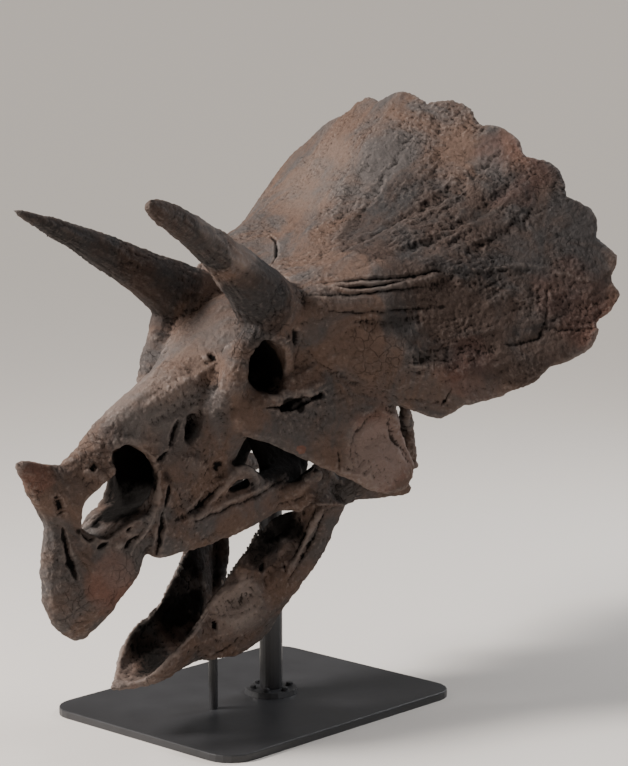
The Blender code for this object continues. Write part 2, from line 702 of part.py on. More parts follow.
def combine(obj, other, operation):
    """Apply a Boolean with another object, which is then removed."""
    mod = obj.modifiers.new("Cut", "BOOLEAN")
    mod.operation = operation
    mod.object = other
    applied(obj)
    bpy.data.objects.remove(other, do_unlink=True)
    return obj


def decimate(obj, triangles):
    """Reduce a mesh to about the given count of triangles."""
    tri = obj.modifiers.new("Tri", "TRIANGULATE")
    tri.min_vertices = 4
    applied(obj)
    mod = obj.modifiers.new("Reduce", "DECIMATE")
    mod.ratio = min(1.0, triangles / len(obj.data.polygons))
    return applied(obj)


def keep_largest(obj):
    """Remove stray crumbs so that one closed body is left."""
    bm = bmesh.new()
    bm.from_mesh(obj.data)
    left = set(bm.verts)
    islands = []
    while left:
        seed = left.pop()
        island = {seed}
        stack = [seed]
        while stack:
            for edge in stack.pop().link_edges:
                for v in edge.verts:
                    if v in left:
                        left.discard(v)
                        island.add(v)
                        stack.append(v)
        islands.append(island)
    islands.sort(key=len, reverse=True)
    for island in islands[1:]:
        bmesh.ops.delete(bm, geom=list(island), context="VERTS")
    bm.to_mesh(obj.data)
    bm.free()
    return obj


def region_box(centre, size, turn=(0, 0, 0), grow=0.0):
    """Return a hidden box; turn is Euler angles in degrees."""
    bm = bmesh.new()
    bmesh.ops.create_cube(bm, size=1.0)
    angles = [math.radians(a) for a in turn]
    frame = (Matrix.Translation(centre) @ Matrix.Rotation(angles[2], 4, "Z")
             @ Matrix.Rotation(angles[1], 4, "Y") @ Matrix.Rotation(angles[0], 4, "X"))
    scale = Matrix.Diagonal([s + 2 * grow for s in size] + [1.0])
    bmesh.ops.transform(bm, matrix=frame @ scale, verts=bm.verts)
    mesh = bpy.data.meshes.new("region")
    bm.to_mesh(mesh)
    bm.free()
    obj = add_object("region", mesh)
    obj.hide_render = True
    obj.display_type = "WIRE"
    return obj


def part_off(whole, name, centre, size, turn, mat):
    """Take the part of a body inside a box, leaving a thin gap."""
    piece = add_object(name, whole.data.copy(), mat)
    combine(piece, region_box(centre, size, turn), "INTERSECT")
    combine(whole, region_box(centre, size, turn, GAP), "DIFFERENCE")
    return keep_largest(piece)


def onto_stand():
    """Return the matrix from the skull's frame to the world."""
    return (Matrix.Translation((EYE_FORWARD, 0, EYE_HEIGHT))
            @ Matrix.Rotation(PITCH, 4, "Y"))


def toward(point, direction, distance):
    """Return a point moved along a direction."""
    step = Vector(direction).normalized() * distance
    return tuple(Vector(point) + step)


def aim(direction):
    """Return the box angles that lay its X axis along a direction."""
    d = Vector(direction).normalized()
    return (0, -math.degrees(math.asin(d.z)), math.degrees(math.atan2(d.y, d.x)))


def build_skull():
    """Unite the skull's forms and cut its openings."""
    forms = cranium_forms() + beak_forms() + nasal_horn_forms() + occiput_forms()
    forms += frill_forms()
    blunt = [(-0.18, 1.04), (0.0, 1.0), (0.2, 0.78), (0.4, 0.60), (0.6, 0.475),
             (0.8, 0.385), (0.95, 0.29), (1.0, 0.17)]
    sharp = [(-0.18, 1.04), (0.0, 1.0), (0.2, 0.75), (0.4, 0.56), (0.6, 0.42),
             (0.8, 0.27), (0.95, 0.13), (1.0, 0.05)]
    forms.append(brow_horn_form(1, LEFT_HORN_TIP, LEFT_HORN_BOW, blunt))
    forms.append(brow_horn_form(-1, RIGHT_HORN_TIP, RIGHT_HORN_BOW, sharp))
    for form in (orbit_rim_form(), preorbital_form(), postorbital_form(), cheek_form(),
                 quadrate_form(), maxilla_form(), tooth_bar_fold_form(),
                 pterygoid_form()):
        forms += [form, mirrored(form)]
    skull = add_object("cranium", form_mesh("cranium", forms))
    remesh(skull)
    smooth(skull, 0.5, 6)
    cutters = nostril_cutters()
    for form in (orbit_cutter(), antorbital_cutter(), cheek_slit_cutter()):
        cutters += [form, mirrored(form)]
    for form in cutters:
        tool = add_object("tool", form_mesh("tool", [form]))
        combine(skull, tool, "DIFFERENCE")
    remesh(skull)
    smooth(skull, 0.5, 2)
    decimate(skull, SKULL_TRIANGLES)
    return keep_largest(skull)


def part_skull(skull, bone, dark, red):
    """Part the united skull along its main bones; return the pieces."""
    pieces = []
    horns = (("brow_horn_left", 1, LEFT_HORN_TIP), ("brow_horn_right", -1, RIGHT_HORN_TIP))
    for name, side, tip in horns:
        base = Vector((HORN_BASE[0], side * HORN_BASE[1], HORN_BASE[2]))
        axis = Vector(tip) - base
        centre = toward(base + axis * HORN_SEAM, axis, HORN_REGION[0] / 2)
        pieces.append(part_off(skull, name, centre, HORN_REGION, aim(axis), dark))
    axis = Vector(NASAL_HORN_TIP) - Vector(NASAL_HORN_BASE)
    centre = toward(NASAL_HORN_BASE, axis, NASAL_HORN_REGION[0] / 2 + NASAL_HORN_SEAM)
    pieces.append(part_off(skull, "nasal_horn", centre, NASAL_HORN_REGION, aim(axis), red))
    ahead = Vector((math.cos(BEAK_LEAN), 0, -math.sin(BEAK_LEAN)))
    above = Vector((math.sin(BEAK_LEAN), 0, math.cos(BEAK_LEAN)))
    centre = Vector(BEAK_CORNER) + ahead * BEAK_REGION[0] / 2 - above * BEAK_REGION[2] / 2
    pieces.append(part_off(skull, "rostral_beak", centre, BEAK_REGION,
                           (0, math.degrees(BEAK_LEAN), 0), red))
    length, width, _ = SQUAMOSAL_REGION
    for name, side in (("left", 1), ("right", -1)):
        along = Vector((-math.cos(SQUAMOSAL_YAW), side * math.sin(SQUAMOSAL_YAW), 0))
        out = Vector((math.sin(SQUAMOSAL_YAW), side * math.cos(SQUAMOSAL_YAW), 0))
        corner = Vector((SQUAMOSAL_CORNER[0], side * SQUAMOSAL_CORNER[1], 0))
        centre = corner + along * length / 2 + out * width / 2
        yaw = math.degrees(math.atan2(along.y, along.x))
        pieces.append(part_off(skull, "squamosal_" + name, centre, SQUAMOSAL_REGION,
                               (0, 0, yaw), bone))
    cheeks = (("quadrate_", QUADRATE_REGION, dark), ("jugal_", JUGAL_REGION, red),
              ("maxilla_", MAXILLA_REGION, bone))
    for name, side in (("left", 1), ("right", -1)):
        for prefix, (low, high), mat in cheeks:
            centre = [(a + b) / 2 for a, b in zip(low, high)]
            centre[1] *= side
            size = [b - a for a, b in zip(low, high)]
            pieces.append(part_off(skull, prefix + name, centre, size, (0, 0, 0), mat))
    centre = toward(FRILL_SEAM, FRILL_RISE, FRILL_REGION[0] / 2)
    pieces.append(part_off(skull, "frill_parietal", centre, FRILL_REGION,
                           aim(FRILL_RISE), bone))
    centre = (SNOUT_SEAM + SNOUT_REGION[0] / 2, 0, EYE_TO_MUZZLE)
    pieces.append(part_off(skull, "snout", centre, SNOUT_REGION, (0, 0, 0), bone))
    skull.data.materials.clear()
    skull.data.materials.append(bone)
    pieces.append(keep_largest(skull))
    return pieces


def build_jaw():
    """Unite the lower jaw's forms and hollow its scoop."""
    forms = [predentary_outer()]
    for form in (ramus_form(), jaw_bar_form(), jaw_joint_form()):
        forms += [form, mirrored(form)]
    jaw = add_object("predentary", form_mesh("jaw", forms))
    remesh(jaw, JAW_VOXEL)
    smooth(jaw, 0.5, 4)
    tool = add_object("tool", form_mesh("tool", [predentary_outer(-JAW_WALL)]))
    combine(jaw, tool, "DIFFERENCE")
    remesh(jaw, JAW_VOXEL)
    smooth(jaw, 0.5, 2)
    decimate(jaw, JAW_TRIANGLES)
    return keep_largest(jaw)


def part_jaw(jaw, bone, dark):
    """Part the lower jaw into its scoop and two side branches."""
    pieces = []
    tilt = math.degrees(GAPE)
    for name, side in (("dentary_left", 1), ("dentary_right", -1)):
        length, width, _ = JAW_REGION
        centre = jaw_point(JAW_SEAM - length / 2, side * (width + GAP) / 2, 0.0)
        pieces.append(part_off(jaw, name, centre, JAW_REGION, (0, tilt, 0), bone))
    jaw.data.materials.clear()
    jaw.data.materials.append(dark)
    pieces.append(keep_largest(jaw))
    return pieces


def add_cylinder(name, x, low, high, radius, mat, top_radius=None):
    """Return an upright rod, or a cone with its own top radius."""
    bm = bmesh.new()
    bmesh.ops.create_cone(bm, cap_ends=True, segments=ROD_SIDES, radius1=radius,
                          radius2=radius if top_radius is None else top_radius,
                          depth=high - low)
    bmesh.ops.translate(bm, vec=(x, 0, (low + high) / 2), verts=bm.verts)
    mesh = bpy.data.meshes.new(name)
    bm.to_mesh(mesh)
    bm.free()
    obj = add_object(name, mesh, mat)
    mesh.shade_smooth()
    mesh.set_sharp_from_angle(angle=math.radians(35))
    return obj


def fit_under(pad, bone):
    """Cut a pad to the underside of a bone, leaving a thin gap."""
    tool = add_object("tool", bone.data.copy())
    tool.data.transform(Matrix.Translation((0, 0, -GAP)))
    combine(pad, tool, "DIFFERENCE")
    return keep_largest(pad)


def underside(bone, x):
    """Return the height of a bone's underside on the midline at a given x."""
    low = None
    bm = bmesh.new()
    bm.from_mesh(bone.data)
    bmesh.ops.triangulate(bm, faces=bm.faces)
    for face in bm.faces:
        a, b, c = (v.co for v in face.verts)
        det = (b.y - c.y) * (a.x - c.x) + (c.x - b.x) * (a.y - c.y)
        if abs(det) < 1e-12:
            continue
        s = ((b.y - c.y) * (x - c.x) + (c.x - b.x) * (0 - c.y)) / det
        t = ((c.y - a.y) * (x - c.x) + (a.x - c.x) * (0 - c.y)) / det
        if s >= 0 and t >= 0 and s + t <= 1:
            z = s * a.z + t * b.z + (1 - s - t) * c.z
            low = z if low is None else min(low, z)
    bm.free()
    return low


def build_stand(braincase, scoop, steel):
    """Add the base plate, the post under the braincase and the jaw's rod."""
    bm = bmesh.new()
    corners = []
    for cx, cy, start in ((1, 1, 0), (-1, 1, 90), (-1, -1, 180), (1, -1, 270)):
        for k in range(7):
            a = math.radians(start + 15 * k)
            corners.append((cx * (BASE_LENGTH / 2 - BASE_CORNER) + BASE_CORNER * math.cos(a),
                            cy * (BASE_WIDTH / 2 - BASE_CORNER) + BASE_CORNER * math.sin(a)))
    face = bm.faces.new([bm.verts.new((x, y, 0)) for x, y in corners])
    grown = bmesh.ops.extrude_face_region(bm, geom=[face])
    lifted = [g for g in grown["geom"] if isinstance(g, bmesh.types.BMVert)]
    bmesh.ops.translate(bm, vec=(0, 0, BASE_THICKNESS), verts=lifted)
    bmesh.ops.recalc_face_normals(bm, faces=bm.faces)
    rim = [e for e in bm.edges if all(v.co.z > BASE_THICKNESS / 2 for v in e.verts)]
    bmesh.ops.bevel(bm, geom=rim, offset=BASE_BEVEL, segments=2, affect="EDGES", profile=0.5)
    mesh = bpy.data.meshes.new("stand_base")
    bm.to_mesh(mesh)
    bm.free()
    add_object("stand_base", mesh, steel)
    top = underside(braincase, POST_X)
    low = BASE_THICKNESS + GAP
    add_cylinder("stand_foot", POST_X, low, low + FOOT_HEIGHT, FOOT_RADII[0], steel,
                 FOOT_RADII[1])
    below, above = SADDLE_REACH
    add_cylinder("stand_post", POST_X, low + FOOT_HEIGHT + GAP, top - below, POST_RADIUS,
                 steel)
    pad = add_cylinder("stand_saddle", POST_X, top - below + GAP, top + above, POST_RADIUS,
                       steel, SADDLE_RADIUS)
    fit_under(pad, braincase)
    top = underside(scoop, JAW_ROD_X)
    below, above = CUP_REACH
    add_cylinder("stand_jaw_rod", JAW_ROD_X, low, top - below, JAW_ROD_RADIUS, steel)
    pad = add_cylinder("stand_jaw_cup", JAW_ROD_X, top - below + GAP, top + above,
                       JAW_ROD_RADIUS, steel, CUP_RADIUS)
    fit_under(pad, scoop)


def main():
    """Build every node of the model."""
    clear_scene()
    bone = bone_material("fossil_bone", BONE)
    dark = bone_material("fossil_bone_dark", BONE_DARK)
    red = bone_material("fossil_bone_red", BONE_RED)
    steel = bone_material("stand_steel", STEEL, 0.45, 0.85)
    skull = build_skull()
    jaw = build_jaw()
    bones = part_skull(skull, bone, dark, red) + part_jaw(jaw, bone, dark)
    for obj in bones:
        obj.data.transform(onto_stand())
    by_name = {obj.name: obj for obj in bones}
    build_stand(by_name["cranium"], by_name["predentary"], steel)


main()
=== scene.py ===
"""Looks of a large horned dinosaur skull on its steel display stand.

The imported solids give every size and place. The upper skull and the lower jaw
each get one sculpted skin over their solids: the solids are united, faired,
carved with strokes and roughened like old bone. The upper skin is parted flat
into ten closed pieces, whose shading runs on across the cuts. The stand keeps
its solids and gets a coated finish and bolts.
"""
import sys

import logging
import math
from dataclasses import dataclass, field
from enum import Enum

import bmesh
import bpy
import numpy as np
from mathutils import Euler, Matrix, Vector
from mathutils.bvhtree import BVHTree


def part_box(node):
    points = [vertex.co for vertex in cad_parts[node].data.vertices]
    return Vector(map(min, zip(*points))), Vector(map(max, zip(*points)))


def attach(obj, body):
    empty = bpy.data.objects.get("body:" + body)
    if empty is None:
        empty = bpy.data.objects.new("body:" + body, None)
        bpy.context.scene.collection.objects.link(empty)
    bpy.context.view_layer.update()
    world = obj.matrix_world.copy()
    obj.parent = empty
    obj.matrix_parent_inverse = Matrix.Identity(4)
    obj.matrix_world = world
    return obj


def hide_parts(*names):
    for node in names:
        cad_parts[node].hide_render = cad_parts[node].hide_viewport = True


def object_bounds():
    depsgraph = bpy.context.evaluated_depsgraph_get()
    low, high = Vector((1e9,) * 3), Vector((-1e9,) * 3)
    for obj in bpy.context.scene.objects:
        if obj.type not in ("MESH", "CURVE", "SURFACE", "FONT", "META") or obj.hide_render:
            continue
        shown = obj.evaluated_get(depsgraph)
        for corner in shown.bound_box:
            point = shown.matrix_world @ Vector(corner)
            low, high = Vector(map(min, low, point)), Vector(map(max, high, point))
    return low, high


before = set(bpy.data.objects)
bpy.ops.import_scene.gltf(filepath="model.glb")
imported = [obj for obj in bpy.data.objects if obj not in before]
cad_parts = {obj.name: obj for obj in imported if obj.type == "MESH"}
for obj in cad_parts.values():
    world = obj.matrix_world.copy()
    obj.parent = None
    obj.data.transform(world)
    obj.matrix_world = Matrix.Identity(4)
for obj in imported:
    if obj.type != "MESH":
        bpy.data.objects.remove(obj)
CAD_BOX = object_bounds()
LOG = logging.getLogger("skull")

Point = tuple[float, float, float]


class Side(Enum):
    """Which side of the skull a mark is on."""

    GIVEN = "only where it is written"
    BOTH = "where it is written and mirrored"


class Profile(Enum):
    """Cross-section of a carved stroke."""

    ROUND = "a soft gutter or a rounded ridge"
    SHARP = "a narrow crack or a sharp crest"
    FLAT = "a flat-bottomed hollow or a plateau"


class Tone(Enum):
    """Colour that a patch shifts the bone towards: the bone's own tones, and painted shade and
    light.
    """

    RED = "red"
    # Charcoal grey: the bone's own dark patches, and painted shade on the frill's shaded half.
    CHAR_AND_SHADE = "char_and_shade"
    # Pale: the bone's own pale patches and wear, and painted light on lit tops and crests.
    PALE = "pale"
    # Near-black painted shade for the insides of cavities.
    PAINTED_SHADE = "painted_shade"


@dataclass(frozen=True)
class SkullFrame:
    """The skull's own axes: +X to the beak, +Y its left, origin between the eyes."""

    pitch: float = math.radians(12.29)
    eye_height: float = 1.10
    eye_forward: float = 0.15

    def matrix(self) -> Matrix:
        """Return the matrix from the skull's axes to the world."""
        turn = Matrix.Rotation(self.pitch, 4, "Y")
        return Matrix.Translation((self.eye_forward, 0, self.eye_height)) @ turn

    def to_world(self, points: np.ndarray) -> np.ndarray:
        """Return points of the skull's axes in the world."""
        m = np.array(self.matrix())
        return points @ m[:3, :3].T + m[:3, 3]

    def to_skull(self, points: np.ndarray) -> np.ndarray:
        """Return points of the world in the skull's axes."""
        m = np.array(self.matrix().inverted())
        return points @ m[:3, :3].T + m[:3, 3]


@dataclass(frozen=True)
class Stroke:
    """One pull of a carving tool along the surface.

    Attributes:
        path: Points in the skull's axes, laid on the surface when used.
        width: Half width at which the mark fades out, in metres.
        depth: Height of the mark; a negative one cuts in.
        profile: Cross-section of the mark.
        side: Whether the mark is mirrored.
        stain_and_shade: How dark painted shade makes its bottom, from 0 to 1, with some crack
            infill; a negative one pales it as painted highlight and wear.
        wobble: How far its line strays, in metres.
    """

    path: tuple[Point, ...]
    width: float
    depth: float
    profile: Profile = Profile.ROUND
    side: Side = Side.BOTH
    stain_and_shade: float = 0.0
    wobble: float = 0.004

    def paths(self) -> list[np.ndarray]:
        """Return the path, and its twin where the mark is on both sides.

        Returns:
            The paths, in the skull's axes.
        """
        here = np.array(self.path, float)
        if self.side is Side.GIVEN:
            return [here]
        return [here, here * np.array((1.0, -1.0, 1.0))]


@dataclass(frozen=True)
class Cut:
    """A flat cut through the skin, in the skull's axes."""

    place: Point
    rise: Point


@dataclass(frozen=True)
class Lump:
    """A rounded bar of bone that is united with the skin.

    Attributes:
        path: Points along its middle, in the skull's axes.
        radii: Its radius at each point.
        side: Whether it is mirrored.
    """

    path: tuple[Point, ...]
    radii: tuple[float, ...]
    side: Side = Side.BOTH

    def build(self, skull: SkullFrame) -> list[bpy.types.Object]:
        """Model the bar as balls strung closely along its path.

        Args:
            skull: Where the skull's axes are.

        Returns:
            The balls, to be joined with the form they grow from.
        """
        balls = []
        path = np.array(self.path, float)
        for sign in ((1.0, -1.0) if self.side is Side.BOTH else (1.0,)):
            for k in range(len(path) - 1):
                gap = float(np.linalg.norm(path[k + 1] - path[k]))
                steps = max(2, int(gap / (0.35 * self.radii[k])) + 1)
                for share in np.linspace(0, 1, steps):
                    spot = path[k] + share * (path[k + 1] - path[k])
                    radius = self.radii[k] + share * (self.radii[k + 1] - self.radii[k])
                    spot = skull.matrix() @ Vector(spot * (1.0, sign, 1.0))
                    bpy.ops.mesh.primitive_uv_sphere_add(segments=16, ring_count=10,
                                                         radius=radius, location=spot)
                    balls.append(bpy.context.object)
        return balls


@dataclass(frozen=True)
class ColourPatch:
    """A soft patch of colour: the bone's own tone, painted shade or painted light, by its tone."""

    centre: Point
    reach: float
    tone: Tone
    strength: float = 1.0
    side: Side = Side.GIVEN
    all_round: bool = False


class Grain:
    """Smooth random relief in space, the same on every run."""

    def __init__(self, seed: int) -> None:
        """Shuffle the slopes that the relief is made of.

        Args:
            seed: Number that fixes the relief.
        """
        rng = np.random.default_rng(seed)
        lean = rng.normal(size=(256, 3))
        self.lean = lean / np.linalg.norm(lean, axis=1)[:, None]
        self.order = rng.permutation(256)

    def smooth(self, points: np.ndarray) -> np.ndarray:
        """Return values from about -1 to 1 that change over a unit length.

        Args:
            points: Places, in units of the relief.

        Returns:
            One value for each place.
        """
        cell = np.floor(points).astype(np.int64)
        part = points - cell
        ease = part ** 3 * (part * (part * 6 - 15) + 10)
        total = np.zeros(len(points))
        for dx in (0, 1):
            for dy in (0, 1):
                for dz in (0, 1):
                    corner = cell + (dx, dy, dz)
                    pick = self.order[corner[:, 0] & 255]
                    pick = self.order[(pick + corner[:, 1]) & 255]
                    pick = self.order[(pick + corner[:, 2]) & 255]
                    slope = (self.lean[pick] * (part - (dx, dy, dz))).sum(1)
                    weight = np.abs(1 - dx - ease[:, 0]) * np.abs(1 - dy - ease[:, 1])
                    total += slope * weight * np.abs(1 - dz - ease[:, 2])
        return total * 1.7

    def rough(self, points: np.ndarray, layers: int = 3, gain: float = 0.5) -> np.ndarray:
        """Return several layers of relief, each finer and weaker.

        Args:
            points: Places, in units of the broadest layer.
            layers: How many layers.
            gain: Strength of each layer against the one before.

        Returns:
            One value for each place.
        """
        total, size = np.zeros(len(points)), 1.0
        for layer in range(layers):
            total += size * self.smooth(points * 2.03 ** layer + 17.1 * layer)
            size *= gain
        return total

    def creased(self, points: np.ndarray, layers: int = 3, gain: float = 0.5) -> np.ndarray:
        """Return relief with sharp creases, from about -1 (crease) to 1.

        Args:
            points: Places, in units of the broadest layer.
            layers: How many layers.
            gain: Strength of each layer against the one before.

        Returns:
            One value for each place.
        """
        total, size = np.zeros(len(points)), 1.0
        for layer in range(layers):
            fold = np.abs(self.smooth(points * 2.1 ** layer + 9.7 * layer))
            total += size * (2.4 * fold - 0.6)
            size *= gain
        return total


def eased(values: np.ndarray, low: float, high: float) -> np.ndarray:
    """Return a soft step from 0 at low to 1 at high."""
    t = np.clip((values - low) / (high - low), 0.0, 1.0)
    return t * t * (3 - 2 * t)


def only(obj: bpy.types.Object) -> None:
    """Select one object alone and make it active.

    Args:
        obj: The object to select.
    """
    bpy.ops.object.select_all(action="DESELECT")
    obj.select_set(True)
    bpy.context.view_layer.objects.active = obj


def apply_modifiers(obj: bpy.types.Object) -> None:
    """Apply every modifier of an object in order.

    Args:
        obj: The object to finish.
    """
    only(obj)
    for name in [m.name for m in obj.modifiers]:
        bpy.ops.object.modifier_apply(modifier=name)


def joined(objects: list[bpy.types.Object], name: str) -> bpy.types.Object:
    """Join objects into one under a name and return it.

    Args:
        objects: The objects, which become one.
        name: The name it gets.

    Returns:
        The joined object.
    """
    bpy.ops.object.select_all(action="DESELECT")
    for obj in objects:
        obj.select_set(True)
    bpy.context.view_layer.objects.active = objects[0]
    if len(objects) > 1:
        bpy.ops.object.join()
    objects[0].name = name
    return objects[0]


def copied(nodes: list[str], name: str) -> bpy.types.Object:
    """Return one loose-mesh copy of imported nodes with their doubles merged.

    Args:
        nodes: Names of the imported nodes.
        name: Name of the copy.

    Returns:
        The copy, linked into the scene.
    """
    copies = []
    for node in nodes:
        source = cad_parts[node]
        twin = bpy.data.objects.new(node + "_copy", source.data.copy())
        bpy.context.scene.collection.objects.link(twin)
        bm = bmesh.new()
        bm.from_mesh(twin.data)
        bmesh.ops.remove_doubles(bm, verts=bm.verts, dist=1e-6)
        bm.to_mesh(twin.data)
        bm.free()
        copies.append(twin)
    return joined(copies, name)


def grown_form(nodes: list[str], lumps: tuple["Lump", ...], skull: "SkullFrame",
               voxel: float, name: str) -> bpy.types.Object:
    """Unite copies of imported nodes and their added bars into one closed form.

    Args:
        nodes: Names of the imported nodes.
        lumps: Bars of bone that grow from them.
        skull: Where the skull's axes are.
        voxel: Size of the grid that the form is made on, in metres.
        name: The form's name.

    Returns:
        The form, which the caller removes when its skin is done.
    """
    balls = [ball for lump in lumps for ball in lump.build(skull)]
    form = joined([copied(nodes, name), *balls], name)
    unite(form, voxel)
    return form


def unite(obj: bpy.types.Object, voxel: float) -> None:
    """Turn overlapping shells into one even skin.

    Args:
        obj: The object to remesh.
        voxel: Size of the grid, in metres.
    """
    mod = obj.modifiers.new("Unite", "REMESH")
    mod.mode = "VOXEL"
    mod.voxel_size = voxel
    apply_modifiers(obj)


def nearest_on(line: np.ndarray, cloud: np.ndarray) -> tuple[np.ndarray, np.ndarray]:
    """Return each point's nearest station on a line and its distance from the line.

    Args:
        line: Stations along a line.
        cloud: The points to measure.

    Returns:
        The station's number and the distance, for each point.
    """
    best = np.full(len(cloud), 1e9)
    which = np.zeros(len(cloud), np.int64)
    for k, p in enumerate(line):
        gap = ((cloud - p) ** 2).sum(1)
        closer = gap < best
        best[closer] = gap[closer]
        which[closer] = k
    best = np.sqrt(best)
    for step in (-1, 1):
        other = np.clip(which + step, 0, len(line) - 1)
        start, way = line[which], line[other] - line[which]
        length = (way ** 2).sum(1) + 1e-12
        share = np.clip(((cloud - start) * way).sum(1) / length, 0, 1)[:, None]
        best = np.minimum(best, np.linalg.norm(cloud - start - share * way, axis=1))
    return which, best


class Skin:
    """A closed skin held as arrays in the skull's axes, shaped like clay.

    Attributes:
        WANDER: Size of the bends in a stroke's line, in metres.
        GIRTH: Size of the changes in a stroke's width.
        FRAY: Size of the specks in a stroke's painted shade.
        TAPER: Share of a stroke's length over which each end thins out.
        CELL: Size of the patches that share one test of how shut in they are.
    """

    WANDER = 0.035
    GIRTH = 0.031
    FRAY = 0.013
    TAPER = 0.34
    CELL = 0.018

    def __init__(self, obj: bpy.types.Object, skull: SkullFrame) -> None:
        """Read a form into arrays in the skull's axes.

        Args:
            obj: The united form.
            skull: Where the skull's axes are.
        """
        mesh = obj.data
        self.skull = skull
        count = len(mesh.vertices)
        flat = np.empty(count * 3)
        mesh.vertices.foreach_get("co", flat)
        self.co = skull.to_skull(flat.reshape(-1, 3))
        ends = np.empty(len(mesh.edges) * 2, np.int32)
        mesh.edges.foreach_get("vertices", ends)
        self.edges = ends.reshape(-1, 2)
        self.mesh = mesh
        self.links = np.bincount(self.edges.ravel(), minlength=count).astype(float)
        self.marks = {"stain_and_shade": np.zeros(count)}
        for tone in Tone:
            self.marks[tone.value] = np.zeros(count)
        self.normals = self.facing()

    def facing(self) -> np.ndarray:
        """Return the normal at each point, after writing the shape back.

        Returns:
            One normal for each point, in the skull's axes.
        """
        self.mesh.vertices.foreach_set("co", self.skull.to_world(self.co).ravel())
        self.mesh.update()
        flat = np.empty(len(self.co) * 3)
        self.mesh.vertex_normals.foreach_get("vector", flat)
        turn = np.array(self.skull.matrix())[:3, :3]
        return flat.reshape(-1, 3) @ turn

    def averaged(self, values: np.ndarray) -> np.ndarray:
        """Return each point's mean over its neighbours.

        Args:
            values: One value or vector for each point.

        Returns:
            The means, in the same shape.
        """
        a, b = self.edges[:, 0], self.edges[:, 1]
        count = len(self.co)
        columns = values.reshape(count, -1).T
        sums = [np.bincount(a, c[b], count) + np.bincount(b, c[a], count) for c in columns]
        return (np.array(sums) / self.links).T.reshape(values.shape)

    def spread(self, values: np.ndarray, rounds: int) -> np.ndarray:
        """Return values blurred over the surface.

        Args:
            values: One value or vector for each point.
            rounds: How often they are blurred.

        Returns:
            The blurred values.
        """
        for _ in range(rounds):
            values = 0.5 * values + 0.5 * self.averaged(values)
        return values

    def fair(self, rounds: int, most: float) -> None:
        """Smooth the facets away, moving no point further than about most.

        Args:
            rounds: How often each point moves towards its neighbours.
            most: The furthest that a point may move, in metres.
        """
        start = self.co.copy()
        shape = self.co
        for _ in range(rounds):
            shape = shape + 0.55 * (self.averaged(shape) - shape)
            shape = shape - 0.52 * (self.averaged(shape) - shape)
        move = shape - start
        size = np.linalg.norm(move, axis=1)[:, None] + 1e-9
        self.co = start + move * np.tanh(size / most) * most / size
        self.normals = self.facing()

    def settle(self, centre: Point, reach: float, rounds: int) -> None:
        """Smooth one region on both sides strongly, fading out at its edge.

        Args:
            centre: Middle of the region, in the skull's axes.
            reach: Its radius.
            rounds: How often each point moves towards its neighbours.
        """
        for sign in (1.0, -1.0):
            gap = np.linalg.norm(self.co - np.array(centre) * (1.0, sign, 1.0), axis=1)
            share = 1 - eased(gap, 0.5 * reach, reach)
            picks = np.flatnonzero(gap < reach * 1.1)
            number = np.full(len(self.co), -1)
            number[picks] = np.arange(len(picks))
            ends = number[self.edges]
            ends = ends[(ends >= 0).all(1)]
            links = np.bincount(ends.ravel(), minlength=len(picks)) + 1e-9
            shape, weight = self.co[picks], share[picks][:, None]
            for _ in range(rounds):
                mean = np.stack([(np.bincount(ends[:, 0], c[ends[:, 1]], len(picks))
                                  + np.bincount(ends[:, 1], c[ends[:, 0]], len(picks))) / links
                                 for c in shape.T], 1)
                shape = shape + 0.8 * weight * (mean - shape)
            self.co[picks] = shape
        self.normals = self.facing()

    def press(self, heights: np.ndarray) -> None:
        """Move every point along its normal."""
        self.co = self.co + self.normals * heights[:, None]

    def laid(self, path: np.ndarray, step: float) -> tuple[np.ndarray, np.ndarray, np.ndarray]:
        """Lay a path on the surface.

        Args:
            path: Corner points of the line.
            step: Distance between the points put along it.

        Returns:
            The points, the normals under them, and their share of the length.
        """
        if len(path) > 2:
            path = self.rounded(path)
        runs = np.linalg.norm(np.diff(path, axis=0), axis=1)
        along = np.concatenate(([0.0], np.cumsum(runs)))
        total = max(along[-1], 1e-6)
        count = max(2, int(total / step) + 1) if len(path) > 1 else 1
        stations = np.linspace(0, total, count)
        line = np.stack([np.interp(stations, along, path[:, k]) for k in range(3)], 1)
        low, high = line.min(0) - 0.06, line.max(0) + 0.06
        near = np.flatnonzero(((self.co > low) & (self.co < high)).all(1))
        if len(near) == 0:
            return line, np.zeros_like(line), stations / total
        cloud = self.co[near]
        picks = []
        for p in line:
            picks.append(near[np.argmin(((cloud - p) ** 2).sum(1))])
        normals = self.normals[picks]
        line = line + ((self.co[picks] - line) * normals).sum(1)[:, None] * normals
        for _ in range(8 if len(line) > 2 else 0):
            line[1:-1] = 0.5 * line[1:-1] + 0.25 * (line[:-2] + line[2:])
        return line, normals, stations / total

    @staticmethod
    def rounded(path: np.ndarray) -> np.ndarray:
        """Return a path with its corners rounded.

        Args:
            path: Corner points of a line.

        Returns:
            The rounded line, with the same ends.
        """
        for _ in range(2):
            first = 0.75 * path[:-1] + 0.25 * path[1:]
            second = 0.25 * path[:-1] + 0.75 * path[1:]
            middle = np.stack([first, second], 1).reshape(-1, 3)
            path = np.concatenate([path[:1], middle[1:-1], path[-1:]])
        return path

